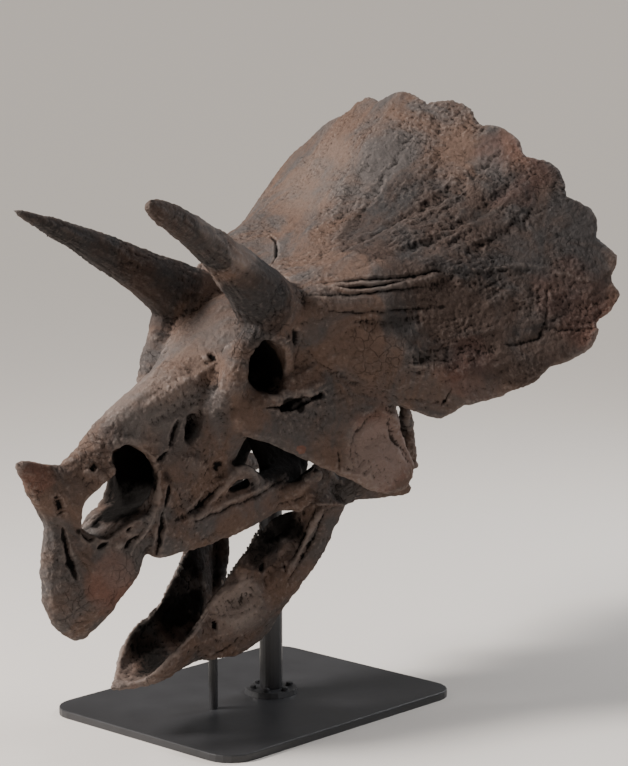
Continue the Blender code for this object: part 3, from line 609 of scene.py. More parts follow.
    def carve(self, stroke: Stroke, grain: Grain) -> None:
        """Cut or raise one stroke, and paint shade into its bottom; a negative stain paints a
        highlight and wear on it instead.

        Args:
            stroke: The stroke to make.
            grain: The random relief that roughens it.
        """
        for path in stroke.paths():
            line, normals, shares = self.laid(path, stroke.width * 0.4)
            reach = stroke.width + 2 * stroke.wobble
            low, high = line.min(0) - reach, line.max(0) + reach
            near = np.flatnonzero(((self.co > low) & (self.co < high)).all(1))
            if len(near) == 0:
                continue
            cloud = self.co[near]
            if stroke.wobble:
                drift = np.stack([grain.smooth(cloud / self.WANDER + 31.7 * k) for k in range(3)], 1)
                cloud = cloud + drift * stroke.wobble
            which, best = nearest_on(line, cloud)
            swell = np.ones(len(near))
            if len(line) > 2:
                share = shares[which]
                swell = np.clip(np.minimum(share, 1 - share) / self.TAPER, 0, 1) ** 0.7
            girth = stroke.width * (0.30 + 0.70 * swell)
            girth *= 1 + 0.30 * grain.smooth(cloud / self.GIRTH)
            ratio = np.clip(best / girth, 0, 1)
            if stroke.profile is Profile.ROUND:
                shape = (1 - ratio ** 2) ** 2
            elif stroke.profile is Profile.SHARP:
                shape = (1 - ratio) ** 1.3
            else:
                shape = 1 - eased(ratio, 0.55, 1.0)
            facing = eased((self.normals[near] * normals[which]).sum(1), -0.1, 0.5)
            amount = shape * facing * (0.30 + 0.70 * swell)
            self.co[near] += self.normals[near] * (amount * stroke.depth)[:, None]
            amount = amount ** 1.8 * (0.85 + 0.5 * grain.smooth(cloud / self.FRAY))
            # Groove bottoms get painted shade, with some crack infill; a negative value pales the
            # crest as painted highlight and wear.
            if stroke.stain_and_shade > 0:
                mark = self.marks["stain_and_shade"]
                mark[near] = np.maximum(mark[near], amount * stroke.stain_and_shade)
            elif stroke.stain_and_shade < 0:
                mark = self.marks[Tone.PALE.value]
                mark[near] = np.maximum(mark[near], -amount * stroke.stain_and_shade)

    def tint(self, stain_and_shade: ColourPatch, grain: Grain) -> None:
        """Add a soft patch of colour; painted shade in a cavity falls only on walls that face its
        centre.

        Args:
            stain_and_shade: The patch to lay.
            grain: The random relief that frays its edge.
        """
        centres = [np.array(stain_and_shade.centre)]
        if stain_and_shade.side is Side.BOTH:
            centres.append(centres[0] * (1, -1, 1))
        uneven = 1 + 0.35 * grain.rough(self.co / (stain_and_shade.reach * 0.7), 2)
        for centre in centres:
            away = centre - self.co
            gap = np.linalg.norm(away, axis=1)
            amount = stain_and_shade.strength * (1 - eased(gap / stain_and_shade.reach * uneven, 0.45, 1.0))
            # Painted shade: only walls that face the centre darken, as inside a cavity.
            if stain_and_shade.tone is Tone.PAINTED_SHADE and not stain_and_shade.all_round:
                amount *= eased((away * self.normals).sum(1) / (gap + 1e-6), -0.25, 0.15)
            mark = self.marks[stain_and_shade.tone.value]
            mark += amount * (1 - np.clip(mark, 0, 1))

    def hollows(self, solid: BVHTree, rays: int = 20, reach: float = 0.30) -> np.ndarray:
        """Return how shut in each point is, from 0 in the open to 1 in a pit; the bone turns it into
        painted shade.

        Args:
            solid: The skull's shape as a tree in the world.
            rays: How many looks each tested point takes.
            reach: How far a look goes, in metres.

        Returns:
            One value for each point of the skin.
        """
        rng = np.random.default_rng(5)
        looks = rng.normal(size=(rays, 3))
        looks /= np.linalg.norm(looks, axis=1)[:, None]
        cells = np.floor(self.co / self.CELL).astype(np.int64)
        keys = (cells[:, 0] * 4096 + cells[:, 1]) * 4096 + cells[:, 2]
        _, picks, owner = np.unique(keys, return_index=True, return_inverse=True)
        spots = self.skull.to_world(self.co[picks])
        turn = np.array(self.skull.matrix())[:3, :3]
        normals = self.normals[picks] @ turn.T
        closed = np.zeros(len(picks))
        for k, (spot, normal) in enumerate(zip(spots, normals)):
            start = Vector(spot + normal * 0.010)
            hits = 0.0
            for look in looks:
                if look @ normal < 0:
                    look = -look
                way = look + 0.6 * normal
                hit = solid.ray_cast(start, Vector(way), reach)
                if hit[0] is not None:
                    hits += 1.0 - 0.5 * hit[3] / reach
            closed[k] = hits / rays
        return self.spread(closed[owner.ravel()], 12)

    def heights(self, rounds: int) -> np.ndarray:
        """Return how far each point stands above its smoothed surroundings."""
        return ((self.co - self.spread(self.co, rounds)) * self.normals).sum(1)


@dataclass(frozen=True)
class BoneFinish:
    """Old mineralised bone: mottled browns, painted shade in hollows and creases, and pale ridges
    from painted highlight and wear.
    """

    name: str = "fossil_bone"
    brown: Point = (0.114, 0.074, 0.057)
    grey: Point = (0.076, 0.067, 0.064)
    red: Point = (0.138, 0.070, 0.053)
    charcoal: Point = (0.0135, 0.0138, 0.0152)
    pale: Point = (0.270, 0.222, 0.198)
    # Near black of painted shade, which the cracks also reach.
    painted_shade: Point = (0.0055, 0.0045, 0.004)
    roughness: tuple[float, float] = (0.58, 0.86)

    def build(self, kit: "ShaderKit") -> bpy.types.Material:
        """Return the material.

        Args:
            kit: The shared shader groups.

        Returns:
            The finished bone material.
        """
        wires = Wires.material(self.name)
        shader = wires.principled(specular=0.12)
        spot = wires.add("ShaderNodeTexCoord").outputs["Object"]
        mottle = wires.group(kit.mottle, Place=spot)
        cracks = wires.group(kit.cracks, Place=spot)
        relief = wires.attribute("relief")
        hollow = wires.attribute("hollow")
        stain_and_shade = wires.attribute("stain_and_shade")
        colour = wires.mix(mottle["Broad"], self.brown, self.grey)
        redness = wires.ramp(wires.sum(wires.attribute("red"), mottle["Patch"]), 0.62, 1.02)
        colour = wires.mix(redness, colour, self.red)
        # Dark patches of the bone, and painted shade on the frill's shaded half.
        char_and_shade = wires.ramp(wires.sum(wires.attribute("char_and_shade"), mottle["Cloud"]), 0.72, 1.20)
        colour = wires.mix(wires.scaled(char_and_shade, 0.88), colour, self.charcoal)
        colour = wires.shaded(colour, mottle["Fine"], 0.46, 1.58)
        # Pale ridges and pale marks: painted highlight on raised relief and lit tops, with wear and
        # the bone's own pale patches.
        ridge = wires.ramp(relief, 0.15, 1.0)
        worn = wires.scaled(wires.sum(wires.scaled(ridge, 0.55), wires.attribute("pale")), 0.60)
        bare = wires.math("SUBTRACT", 1.0, wires.scaled(char_and_shade, 0.80))
        worn = wires.math("MULTIPLY", worn, bare)
        colour = wires.mix(worn, colour, self.pale)
        # Painted shade: creases, groove bottoms, shut-in hollows and cavity walls go near black; the
        # crack lines are the bone's own dark colour.
        crevice = wires.ramp(relief, -0.10, -0.90)
        dark = wires.sum(wires.scaled(crevice, 0.72), wires.scaled(stain_and_shade, 0.95))
        dark = wires.sum(dark, wires.scaled(wires.ramp(hollow, 0.30, 0.66), 0.96))
        dark = wires.sum(dark, wires.scaled(cracks["Line"], 0.28))
        dark = wires.sum(dark, wires.attribute("painted_shade"))
        colour = wires.mix(dark, colour, self.painted_shade)
        wires.link(colour, shader.inputs["Base Color"])
        rough = wires.ranged(mottle["Fine"], *self.roughness)
        wires.link(wires.sum(rough, wires.scaled(dark, 0.3)), shader.inputs["Roughness"])
        height = wires.sum(wires.scaled(mottle["Grit"], 0.55), wires.scaled(cracks["Line"], -0.9),
                           clamp=False)
        height = wires.sum(height, wires.scaled(mottle["Fine"], 0.9), clamp=False)
        wires.bump(height, shader, distance=0.0060, strength=0.95)
        return wires.owner


@dataclass(frozen=True)
class ToothFinish:
    """Dark stained teeth, a little glossier than the bone."""

    name: str = "fossil_tooth"
    dark: Point = (0.020, 0.017, 0.016)
    worn: Point = (0.105, 0.082, 0.068)

    def build(self, kit: "ShaderKit") -> bpy.types.Material:
        """Return the material.

        Args:
            kit: The shared shader groups.

        Returns:
            The finished tooth material.
        """
        wires = Wires.material(self.name)
        shader = wires.principled(specular=0.5)
        spot = wires.add("ShaderNodeTexCoord").outputs["Object"]
        mottle = wires.group(kit.mottle, Place=spot)
        share = wires.ramp(mottle["Fine"], 0.42, 0.70)
        wires.link(wires.mix(share, self.dark, self.worn), shader.inputs["Base Color"])
        wires.link(wires.ranged(mottle["Fine"], 0.36, 0.60), shader.inputs["Roughness"])
        wires.bump(mottle["Fine"], shader, distance=0.0015, strength=0.6)
        return wires.owner


@dataclass(frozen=True)
class CoatFinish:
    """Black powder coat on the stand's steel."""

    name: str = "powder_coat"
    colour: Point = (0.018, 0.018, 0.020)
    worn: Point = (0.060, 0.060, 0.064)

    def build(self, kit: "ShaderKit") -> bpy.types.Material:
        """Return the material, with a fine orange-peel surface.

        Args:
            kit: The shared shader groups; not used.

        Returns:
            The finished coat.
        """
        wires = Wires.material(self.name)
        shader = wires.principled(specular=0.5, metallic=0.0)
        spot = wires.add("ShaderNodeTexCoord").outputs["Object"]
        peel = wires.noise(spot, scale=900.0, detail=3.0)
        dust = wires.noise(spot, scale=9.0, detail=6.0)
        wires.link(wires.mix(wires.scaled(dust, 0.5), self.colour, self.worn),
                   shader.inputs["Base Color"])
        wires.link(wires.ranged(dust, 0.34, 0.52), shader.inputs["Roughness"])
        wires.bump(peel, shader, distance=0.0006, strength=0.35)
        return wires.owner


@dataclass(frozen=True)
class FloorFinish:
    """Plain pale floor."""

    name: str = "pale_floor"
    colour: Point = (0.74, 0.70, 0.66)

    def build(self, kit: "ShaderKit") -> bpy.types.Material:
        """Return the material.

        Args:
            kit: The shared shader groups; not used.

        Returns:
            The finished floor material.
        """
        wires = Wires.material(self.name)
        shader = wires.principled(specular=0.3)
        shader.inputs["Base Color"].default_value = (*self.colour, 1.0)
        shader.inputs["Roughness"].default_value = 0.7
        return wires.owner


class Wires:
    """Short hand for wiring shader nodes."""

    def __init__(self, owner: bpy.types.ID, tree: bpy.types.NodeTree) -> None:
        self.owner = owner
        self.tree = tree

    @classmethod
    def material(cls, name: str) -> "Wires":
        """Start a new material.

        Args:
            name: Name of the material.

        Returns:
            Wires on its node tree.
        """
        mat = bpy.data.materials.new(name)
        mat.use_nodes = True
        return cls(mat, mat.node_tree)

    @classmethod
    def shared(cls, name: str, outputs: tuple[str, ...]) -> "Wires":
        """Start a new shader group with a Place input and named outputs.

        Args:
            name: Name of the group.
            outputs: Names of its outputs.

        Returns:
            Wires on the group's tree.
        """
        tree = bpy.data.node_groups.new(name, "ShaderNodeTree")
        tree.interface.new_socket("Place", in_out="INPUT", socket_type="NodeSocketVector")
        for output in outputs:
            tree.interface.new_socket(output, in_out="OUTPUT", socket_type="NodeSocketFloat")
        return cls(tree, tree)

    def add(self, kind: str, **settings: object) -> bpy.types.Node:
        """Add a node with its settings.

        Args:
            kind: The node's type.
            **settings: Its settings by name.

        Returns:
            The node.
        """
        node = self.tree.nodes.new(kind)
        for key, value in settings.items():
            setattr(node, key, value)
        return node

    def link(self, source: bpy.types.NodeSocket, target: bpy.types.NodeSocket) -> None:
        """Join two sockets."""
        self.tree.links.new(source, target)

    def feed(self, socket: bpy.types.NodeSocket, value: object) -> None:
        """Join a socket, or set its value from a number or a colour.

        Args:
            socket: The input to feed.
            value: A socket, a number or a colour.
        """
        if isinstance(value, bpy.types.NodeSocket):
            self.link(value, socket)
        elif isinstance(value, tuple):
            socket.default_value = (*value, 1.0) if len(socket.default_value) == 4 else value
        else:
            socket.default_value = value

    def principled(self, specular: float, metallic: float = 0.0) -> bpy.types.Node:
        """Return the material's shader with its plain values set.

        Args:
            specular: Specular level.
            metallic: Metallic value.

        Returns:
            The shader node.
        """
        shader = self.tree.nodes["Principled BSDF"]
        shader.inputs["Specular IOR Level"].default_value = specular
        shader.inputs["Metallic"].default_value = metallic
        return shader

    def group(self, tree: bpy.types.NodeTree, **inputs: object) -> dict[str, object]:
        """Place a shared group and return its outputs by name.

        Args:
            tree: The shared group.
            **inputs: What feeds each of its inputs.

        Returns:
            Its outputs by name.
        """
        node = self.add("ShaderNodeGroup", node_tree=tree)
        for key, value in inputs.items():
            self.feed(node.inputs[key], value)
        return {out.name: out for out in node.outputs}

    def attribute(self, name: str) -> bpy.types.NodeSocket:
        """Return a mark that the mesh carries."""
        return self.add("ShaderNodeAttribute", attribute_name=name).outputs["Fac"]

    def noise(self, place: bpy.types.NodeSocket, scale: float, detail: float = 4.0,
              roughness: float = 0.55, distortion: float = 0.0) -> bpy.types.NodeSocket:
        """Return a noise value.

        Args:
            place: Where the noise is read.
            scale: How fine it is.
            detail: How many layers it has.
            roughness: Strength of the fine layers.
            distortion: How far it is bent.

        Returns:
            The value, from 0 to 1.
        """
        node = self.add("ShaderNodeTexNoise")
        self.link(place, node.inputs["Vector"])
        node.inputs["Scale"].default_value = scale
        node.inputs["Detail"].default_value = detail
        node.inputs["Roughness"].default_value = roughness
        node.inputs["Distortion"].default_value = distortion
        return node.outputs["Fac"]

    def math(self, operation: str, *values: object, clamp: bool = False) -> bpy.types.NodeSocket:
        """Return a sum, product or other result.

        Args:
            operation: The operation's name.
            *values: Sockets or numbers.
            clamp: Whether the result is kept from 0 to 1.

        Returns:
            The result.
        """
        node = self.add("ShaderNodeMath", operation=operation, use_clamp=clamp)
        for socket, value in zip(node.inputs, values):
            self.feed(socket, value)
        return node.outputs[0]

    def sum(self, a: object, b: object, clamp: bool = True) -> bpy.types.NodeSocket:
        """Return the sum of two values."""
        return self.math("ADD", a, b, clamp=clamp)

    def scaled(self, value: object, factor: float) -> bpy.types.NodeSocket:
        """Return a value times a factor."""
        return self.math("MULTIPLY", value, factor)

    def ranged(self, value: object, low: float, high: float) -> bpy.types.NodeSocket:
        """Map 0..1 to a range.

        Args:
            value: A value from 0 to 1.
            low: What 0 becomes.
            high: What 1 becomes.

        Returns:
            The mapped value.
        """
        node = self.add("ShaderNodeMapRange")
        self.feed(node.inputs["Value"], value)
        node.inputs["To Min"].default_value = low
        node.inputs["To Max"].default_value = high
        return node.outputs["Result"]

    def ramp(self, value: object, low: float, high: float) -> bpy.types.NodeSocket:
        """Return a soft step from 0 at low to 1 at high.

        Args:
            value: The value to read.
            low: Where the step is 0.
            high: Where the step is 1; it may be the lower.

        Returns:
            The step, from 0 to 1.
        """
        node = self.add("ShaderNodeMapRange", interpolation_type="SMOOTHSTEP")
        self.feed(node.inputs["Value"], value)
        if low < high:
            node.inputs["From Min"].default_value = low
            node.inputs["From Max"].default_value = high
            return node.outputs["Result"]
        node.inputs["From Min"].default_value = high
        node.inputs["From Max"].default_value = low
        return self.math("SUBTRACT", 1.0, node.outputs["Result"])

    def mix(self, share: object, a: object, b: object) -> bpy.types.NodeSocket:
        """Return a colour between two.

        Args:
            share: How much of the second colour shows.
            a: The first colour.
            b: The second colour.

        Returns:
            The mixed colour.
        """
        node = self.add("ShaderNodeMix", data_type="RGBA")
        self.feed(node.inputs[0], share)
        self.feed(node.inputs[6], a)
        self.feed(node.inputs[7], b)
        return node.outputs[2]

    def shaded(self, colour: object, value: object, low: float, high: float) -> object:
        """Return a colour made darker or lighter by a value.

        Args:
            colour: The colour to scale.
            value: A value from 0 to 1.
            low: Its scale at 0.
            high: Its scale at 1.

        Returns:
            The scaled colour.
        """
        node = self.add("ShaderNodeVectorMath", operation="SCALE")
        self.feed(node.inputs[0], colour)
        self.link(self.ranged(value, low, high), node.inputs["Scale"])
        return node.outputs[0]

    def bump(self, height: object, shader: bpy.types.Node, distance: float,
             strength: float) -> None:
        """Feed a height into the shader's normal.

        Args:
            height: The height to feel.
            shader: The shader that gets the normal.
            distance: Height of a full step, in metres.
            strength: Strength of the bump.
        """
        node = self.add("ShaderNodeBump")
        node.inputs["Distance"].default_value = distance
        node.inputs["Strength"].default_value = strength
        self.link(height, node.inputs["Height"])
        self.link(node.outputs["Normal"], shader.inputs["Normal"])

    def outputs(self, **values: bpy.types.NodeSocket) -> None:
        """Join a group's outputs.

        Args:
            **values: What feeds each of the group's outputs.
        """
        node = self.add("NodeGroupOutput")
        for key, value in values.items():
            self.link(value, node.inputs[key])

    def place(self) -> bpy.types.NodeSocket:
        """Return a group's Place input."""
        return self.add("NodeGroupInput").outputs["Place"]


class ShaderKit:
    """Shader groups that several materials use."""

    def __init__(self) -> None:
        self.mottle = self.mottle_group()
        self.cracks = self.crack_group()

    @staticmethod
    def mottle_group() -> bpy.types.NodeTree:
        """Return uneven tones from broad clouds to fine grit.

        Returns:
            The group.
        """
        wires = Wires.shared("bone_mottle", ("Broad", "Patch", "Cloud", "Fine", "Grit"))
        place = wires.place()
        broad = wires.ramp(wires.noise(place, 5.5, 5.0, 0.62, 0.6), 0.38, 0.64)
        patch = wires.noise(place, 3.1, 4.0, 0.55, 0.9)
        cloud = wires.noise(place, 2.3, 5.0, 0.60, 0.5)
        fine = wires.noise(place, 58.0, 8.0, 0.72, 0.3)
        grit = wires.noise(place, 170.0, 5.0, 0.62)
        wires.outputs(Broad=broad, Patch=patch, Cloud=cloud, Fine=fine, Grit=grit)
        return wires.tree

    @staticmethod
    def crack_group() -> bpy.types.NodeTree:
        """Return a net of fine age cracks that comes and goes.

        Returns:
            The group.
        """
        wires = Wires.shared("bone_cracks", ("Line",))
        place = wires.place()
        warp = wires.add("ShaderNodeTexNoise")
        wires.link(place, warp.inputs["Vector"])
        warp.inputs["Scale"].default_value = 14.0
        warp.inputs["Detail"].default_value = 4.0
        bend = wires.add("ShaderNodeVectorMath", operation="MULTIPLY_ADD")
        wires.link(warp.outputs["Color"], bend.inputs[0])
        bend.inputs[1].default_value = (0.075, 0.075, 0.075)
        wires.link(place, bend.inputs[2])
        net = wires.add("ShaderNodeTexVoronoi", feature="DISTANCE_TO_EDGE")
        wires.link(bend.outputs[0], net.inputs["Vector"])
        net.inputs["Scale"].default_value = 27.0
        line = wires.ramp(net.outputs["Distance"], 0.030, 0.0)
        gate = wires.ramp(wires.noise(place, 6.0, 3.0), 0.52, 0.68)
        wires.outputs(Line=wires.math("MULTIPLY", line, gate))
        return wires.tree


def carved_frill() -> list[Stroke]:
    """Return the sutures, folds and radial wrinkles of the frill.

    Returns:
        The strokes, in the order they are cut.
    """
    sharp, both, given = Profile.SHARP, Side.BOTH, Side.GIVEN
    return [
        Stroke(((-0.235, 0.30, 0.185), (-0.29, 0.36, 0.17), (-0.335, 0.39, 0.165),
                (-0.395, 0.43, 0.165)), 0.011, -0.020, sharp, both, 1.0, 0.003),
        Stroke(((-0.215, 0.25, 0.20), (-0.27, 0.315, 0.195), (-0.40, 0.435, 0.17),
                (-0.50, 0.485, 0.17), (-0.58, 0.52, 0.175)), 0.013, -0.009, sharp, both, 0.8),
        Stroke(((-0.20, 0.27, 0.195), (-0.30, 0.365, 0.165), (-0.42, 0.45, 0.155),
                (-0.54, 0.515, 0.15)), 0.024, 0.006, Profile.ROUND, both, -0.2),
        Stroke(((-0.145, 0.24, 0.185), (-0.245, 0.33, 0.155), (-0.355, 0.41, 0.145),
                (-0.44, 0.47, 0.135)), 0.012, -0.007, sharp, both, 0.6),
        Stroke(((-0.18, 0.305, 0.125), (-0.28, 0.38, 0.095), (-0.37, 0.45, 0.085),
                (-0.475, 0.525, 0.065)), 0.014, -0.006, sharp, both, 0.5),
        Stroke(((-0.24, 0.36, 0.08), (-0.33, 0.43, 0.05), (-0.40, 0.48, 0.05)),
               0.045, -0.012, Profile.ROUND, both, 0.25),
        Stroke(((-0.46, -0.18, 0.26), (-0.41, -0.095, 0.24), (-0.335, -0.035, 0.205),
                (-0.30, -0.02, 0.19)), 0.008, -0.012, sharp, given, 1.0, 0.004),
        Stroke(((-0.80, 0.01, 0.44), (-0.645, 0.04, 0.34), (-0.50, 0.075, 0.27),
                (-0.39, 0.115, 0.235), (-0.295, 0.165, 0.225)), 0.040, -0.006,
               Profile.ROUND, given, 0.05, 0.012),
        Stroke(((-0.39, 0.13, 0.235), (-0.575, 0.13, 0.30), (-0.75, 0.11, 0.40),
                (-0.87, 0.12, 0.47)), 0.026, -0.006, Profile.ROUND, given, 0.12, 0.012),
        Stroke(((-0.39, 0.19, 0.24), (-0.575, 0.26, 0.295), (-0.74, 0.345, 0.34),
                (-0.93, 0.41, 0.43)), 0.034, -0.009, Profile.ROUND, given, 0.25, 0.016),
        Stroke(((-0.31, 0.31, 0.22), (-0.53, 0.405, 0.245), (-0.765, 0.475, 0.285),
                (-0.94, 0.505, 0.37)), 0.028, -0.006, Profile.ROUND, given, 0.15, 0.014),
        Stroke(((-0.57, 0.505, 0.185), (-0.745, 0.545, 0.23), (-0.895, 0.61, 0.265)),
               0.032, -0.007, Profile.ROUND, given, 0.3, 0.014),
        Stroke(((-0.425, 0.425, 0.20), (-0.56, 0.47, 0.21), (-0.69, 0.525, 0.215),
                (-0.80, 0.545, 0.25)), 0.030, 0.004, Profile.ROUND, given, -0.15, 0.014),
        Stroke(((-0.42, 0.23, 0.24), (-0.60, 0.31, 0.29), (-0.80, 0.40, 0.36)),
               0.036, 0.005, Profile.ROUND, given, -0.15, 0.016),
        Stroke(((-0.50, 0.52, 0.165), (-0.64, 0.585, 0.15), (-0.75, 0.66, 0.12),
                (-0.825, 0.765, 0.06), (-0.885, 0.83, 0.03)), 0.016, 0.004,
               Profile.ROUND, both, -0.15, 0.006),
        Stroke(((-0.555, 0.65, -0.07), (-0.64, 0.72, -0.08), (-0.675, 0.715, -0.025),
                (-0.725, 0.70, 0.05)), 0.016, -0.007, sharp, both, 0.5),
        Stroke(((-0.655, 0.71, -0.035), (-0.71, 0.765, -0.065), (-0.78, 0.82, -0.075)),
               0.012, -0.005, sharp, both, 0.4),
        Stroke(((-0.405, 0.555, -0.165), (-0.39, 0.545, -0.185), (-0.37, 0.525, -0.22)),
               0.008, -0.006, sharp, both, 0.8),
        Stroke(((-0.33, 0.47, -0.06), (-0.43, 0.56, -0.08), (-0.53, 0.64, -0.07)),
               0.050, -0.010, Profile.ROUND, both, 0.2),
    ]


def carved_face() -> list[Stroke]:
    """Return the ridges, slits and pits of the face, cheeks and beak.

    Returns:
        The strokes, in the order they are cut.
    """
    sharp, both = Profile.SHARP, Side.BOTH
    ridge = Profile.ROUND
    return [
        Stroke(((0.13, 0.11, 0.045), (0.215, 0.085, 0.015), (0.295, 0.07, 0.005),
                (0.37, 0.06, -0.012)), 0.028, 0.007, ridge, both, -0.25),
        Stroke(((0.054, 0.14, -0.005), (0.22, 0.12, -0.03), (0.30, 0.10, -0.045),
                (0.38, 0.095, -0.055)), 0.042, -0.008, ridge, both, 0.1),
        Stroke(((-0.07, 0.26, 0.105), (-0.085, 0.255, 0.075), (-0.09, 0.245, 0.04)),
               0.020, -0.012, ridge, both, 0.5),
        Stroke(((-0.045, 0.26, 0.085), (-0.048, 0.26, 0.068)), 0.020, 0.010, ridge, both, -0.4),
        Stroke(((0.12, 0.095, 0.065), (0.115, 0.10, 0.055)), 0.016, -0.010, ridge, both, 0.5),
        Stroke(((0.15, 0.085, 0.065), (0.13, 0.10, 0.075)), 0.022, 0.007, ridge, both, -0.2),
        Stroke(((0.285, 0.10, -0.075), (0.315, 0.105, -0.10), (0.35, 0.105, -0.14)),
               0.020, -0.012, ridge, both, 0.5),
        Stroke(((0.32, 0.11, -0.18), (0.28, 0.12, -0.21), (0.25, 0.13, -0.25)),
               0.030, 0.008, ridge, both, -0.2),
        Stroke(((0.20, 0.14, -0.07), (0.185, 0.15, -0.13), (0.20, 0.155, -0.20)),
               0.028, 0.005, ridge, both, -0.15),
        Stroke(((0.065, 0.240, -0.100), (0.025, 0.250, -0.112), (-0.02, 0.262, -0.124),
                (-0.07, 0.290, -0.118), (-0.115, 0.308, -0.108)), 0.0095, -0.022, ridge, both,
               1.0, 0.001),
        Stroke(((-0.105, 0.305, -0.110),), 0.0145, -0.022, ridge, both, 1.0, 0.001),
        Stroke(((-0.085, 0.298, -0.114),), 0.0125, -0.016, ridge, both, 1.0, 0.001),
        Stroke(((0.06, 0.23, -0.075), (0.01, 0.245, -0.085), (-0.025, 0.26, -0.088),
                (-0.08, 0.285, -0.085), (-0.125, 0.305, -0.078)), 0.026, 0.006, ridge, both,
               -0.2),
        Stroke(((-0.10, 0.345, -0.285), (-0.085, 0.35, -0.345)), 0.007, -0.006, sharp, both, 0.8),
        Stroke(((-0.275, 0.395, -0.18), (-0.26, 0.385, -0.21), (-0.205, 0.37, -0.225),
                (-0.16, 0.355, -0.24), (-0.145, 0.36, -0.295), (-0.145, 0.37, -0.325),
                (-0.16, 0.40, -0.395)), 0.024, -0.004, ridge, both, 0.08),
        Stroke(((-0.24, 0.375, -0.19), (-0.19, 0.355, -0.205), (-0.135, 0.345, -0.24),
                (-0.118, 0.35, -0.30)), 0.028, 0.004, ridge, both, -0.05),
        Stroke(((-0.28, 0.39, -0.20), (-0.275, 0.40, -0.285), (-0.30, 0.42, -0.35),
                (-0.32, 0.425, -0.415)), 0.018, -0.004, ridge, both, 0.1),
        Stroke(((-0.30, 0.395, -0.225), (-0.305, 0.405, -0.285), (-0.32, 0.42, -0.36)),
               0.016, 0.004, ridge, both, -0.2),
        Stroke(((0.26, 0.28, 0.52), (0.20, 0.27, 0.455), (0.115, 0.26, 0.375),
                (0.035, 0.26, 0.305)), 0.034, 0.005, ridge, both, -0.40),
        Stroke(((0.74, 0.045, -0.15), (0.745, 0.045, -0.18), (0.735, 0.045, -0.215)),
               0.024, -0.012, ridge, both, 0.4),
        Stroke(((0.735, 0.035, -0.255), (0.745, 0.045, -0.315), (0.74, 0.06, -0.41)),
               0.014, -0.014, ridge, both, 0.6),
        Stroke(((0.43, 0.12, -0.305), (0.445, 0.125, -0.35), (0.468, 0.112, -0.40),
                (0.485, 0.105, -0.44)), 0.013, -0.016, ridge, both, 0.7),
        Stroke(((0.385, 0.12, -0.24), (0.40, 0.12, -0.275), (0.42, 0.12, -0.30)),
               0.009, -0.010, ridge, both, 0.9),
        Stroke(((0.40, 0.135, -0.345), (0.35, 0.145, -0.345), (0.305, 0.155, -0.335),
                (0.25, 0.155, -0.31)), 0.020, -0.009, ridge, both, 0.4),
        Stroke(((0.36, 0.135, -0.27), (0.36, 0.14, -0.30)), 0.005, -0.005, sharp, both, 0.9),
        Stroke(((0.52, 0.075, -0.06), (0.475, 0.075, -0.075), (0.435, 0.08, -0.09),
                (0.365, 0.105, -0.13)), 0.020, 0.004, ridge, both, -0.25),
        Stroke(((0.405, 0.105, -0.16), (0.36, 0.11, -0.15)), 0.014, -0.009, ridge, both, 0.8),
        Stroke(((0.60, 0.045, -0.12), (0.59, 0.045, -0.115)), 0.015, -0.009, ridge, both, 0.8),
        Stroke(((0.405, 0.105, -0.185), (0.43, 0.105, -0.27), (0.485, 0.105, -0.345),
                (0.56, 0.095, -0.40)), 0.018, 0.006, ridge, both, -0.35),
    ]


def carved_nostril() -> list[Stroke]:
    """Return the round opening, ribs and slots below the nostril.

    Returns:
        The strokes, in the order they are cut.
    """
    sharp, both, ridge = Profile.SHARP, Side.BOTH, Profile.ROUND
    return [
        Stroke(((0.665, 0.06, -0.290),), 0.029, -0.024, Profile.FLAT, both, 1.0, 0.002),
        Stroke(((0.655, 0.075, -0.345), (0.615, 0.08, -0.335)), 0.010, -0.012, sharp, both, 1.0),
        Stroke(((0.60, 0.05, -0.33), (0.55, 0.04, -0.316), (0.505, 0.03, -0.305)),
               0.012, 0.007, ridge, both, -0.5, 0.002),
        Stroke(((0.575, 0.035, -0.325), (0.545, 0.035, -0.315), (0.52, 0.035, -0.305)),
               0.010, -0.014, ridge, both, 1.0, 0.002),
        Stroke(((0.595, 0.05, -0.33), (0.56, 0.06, -0.32), (0.51, 0.05, -0.305)),
               0.011, 0.006, ridge, both, -0.4, 0.002),
        Stroke(((0.555, 0.085, -0.33), (0.53, 0.095, -0.32)), 0.011, -0.012, ridge, both, 1.0),
        Stroke(((0.59, 0.085, -0.36), (0.58, 0.085, -0.36)), 0.022, 0.007, ridge, both, -0.2),
        Stroke(((0.58, 0.085, -0.372), (0.54, 0.09, -0.362), (0.515, 0.10, -0.352)),
               0.013, -0.010, ridge, both, 0.8),
    ]


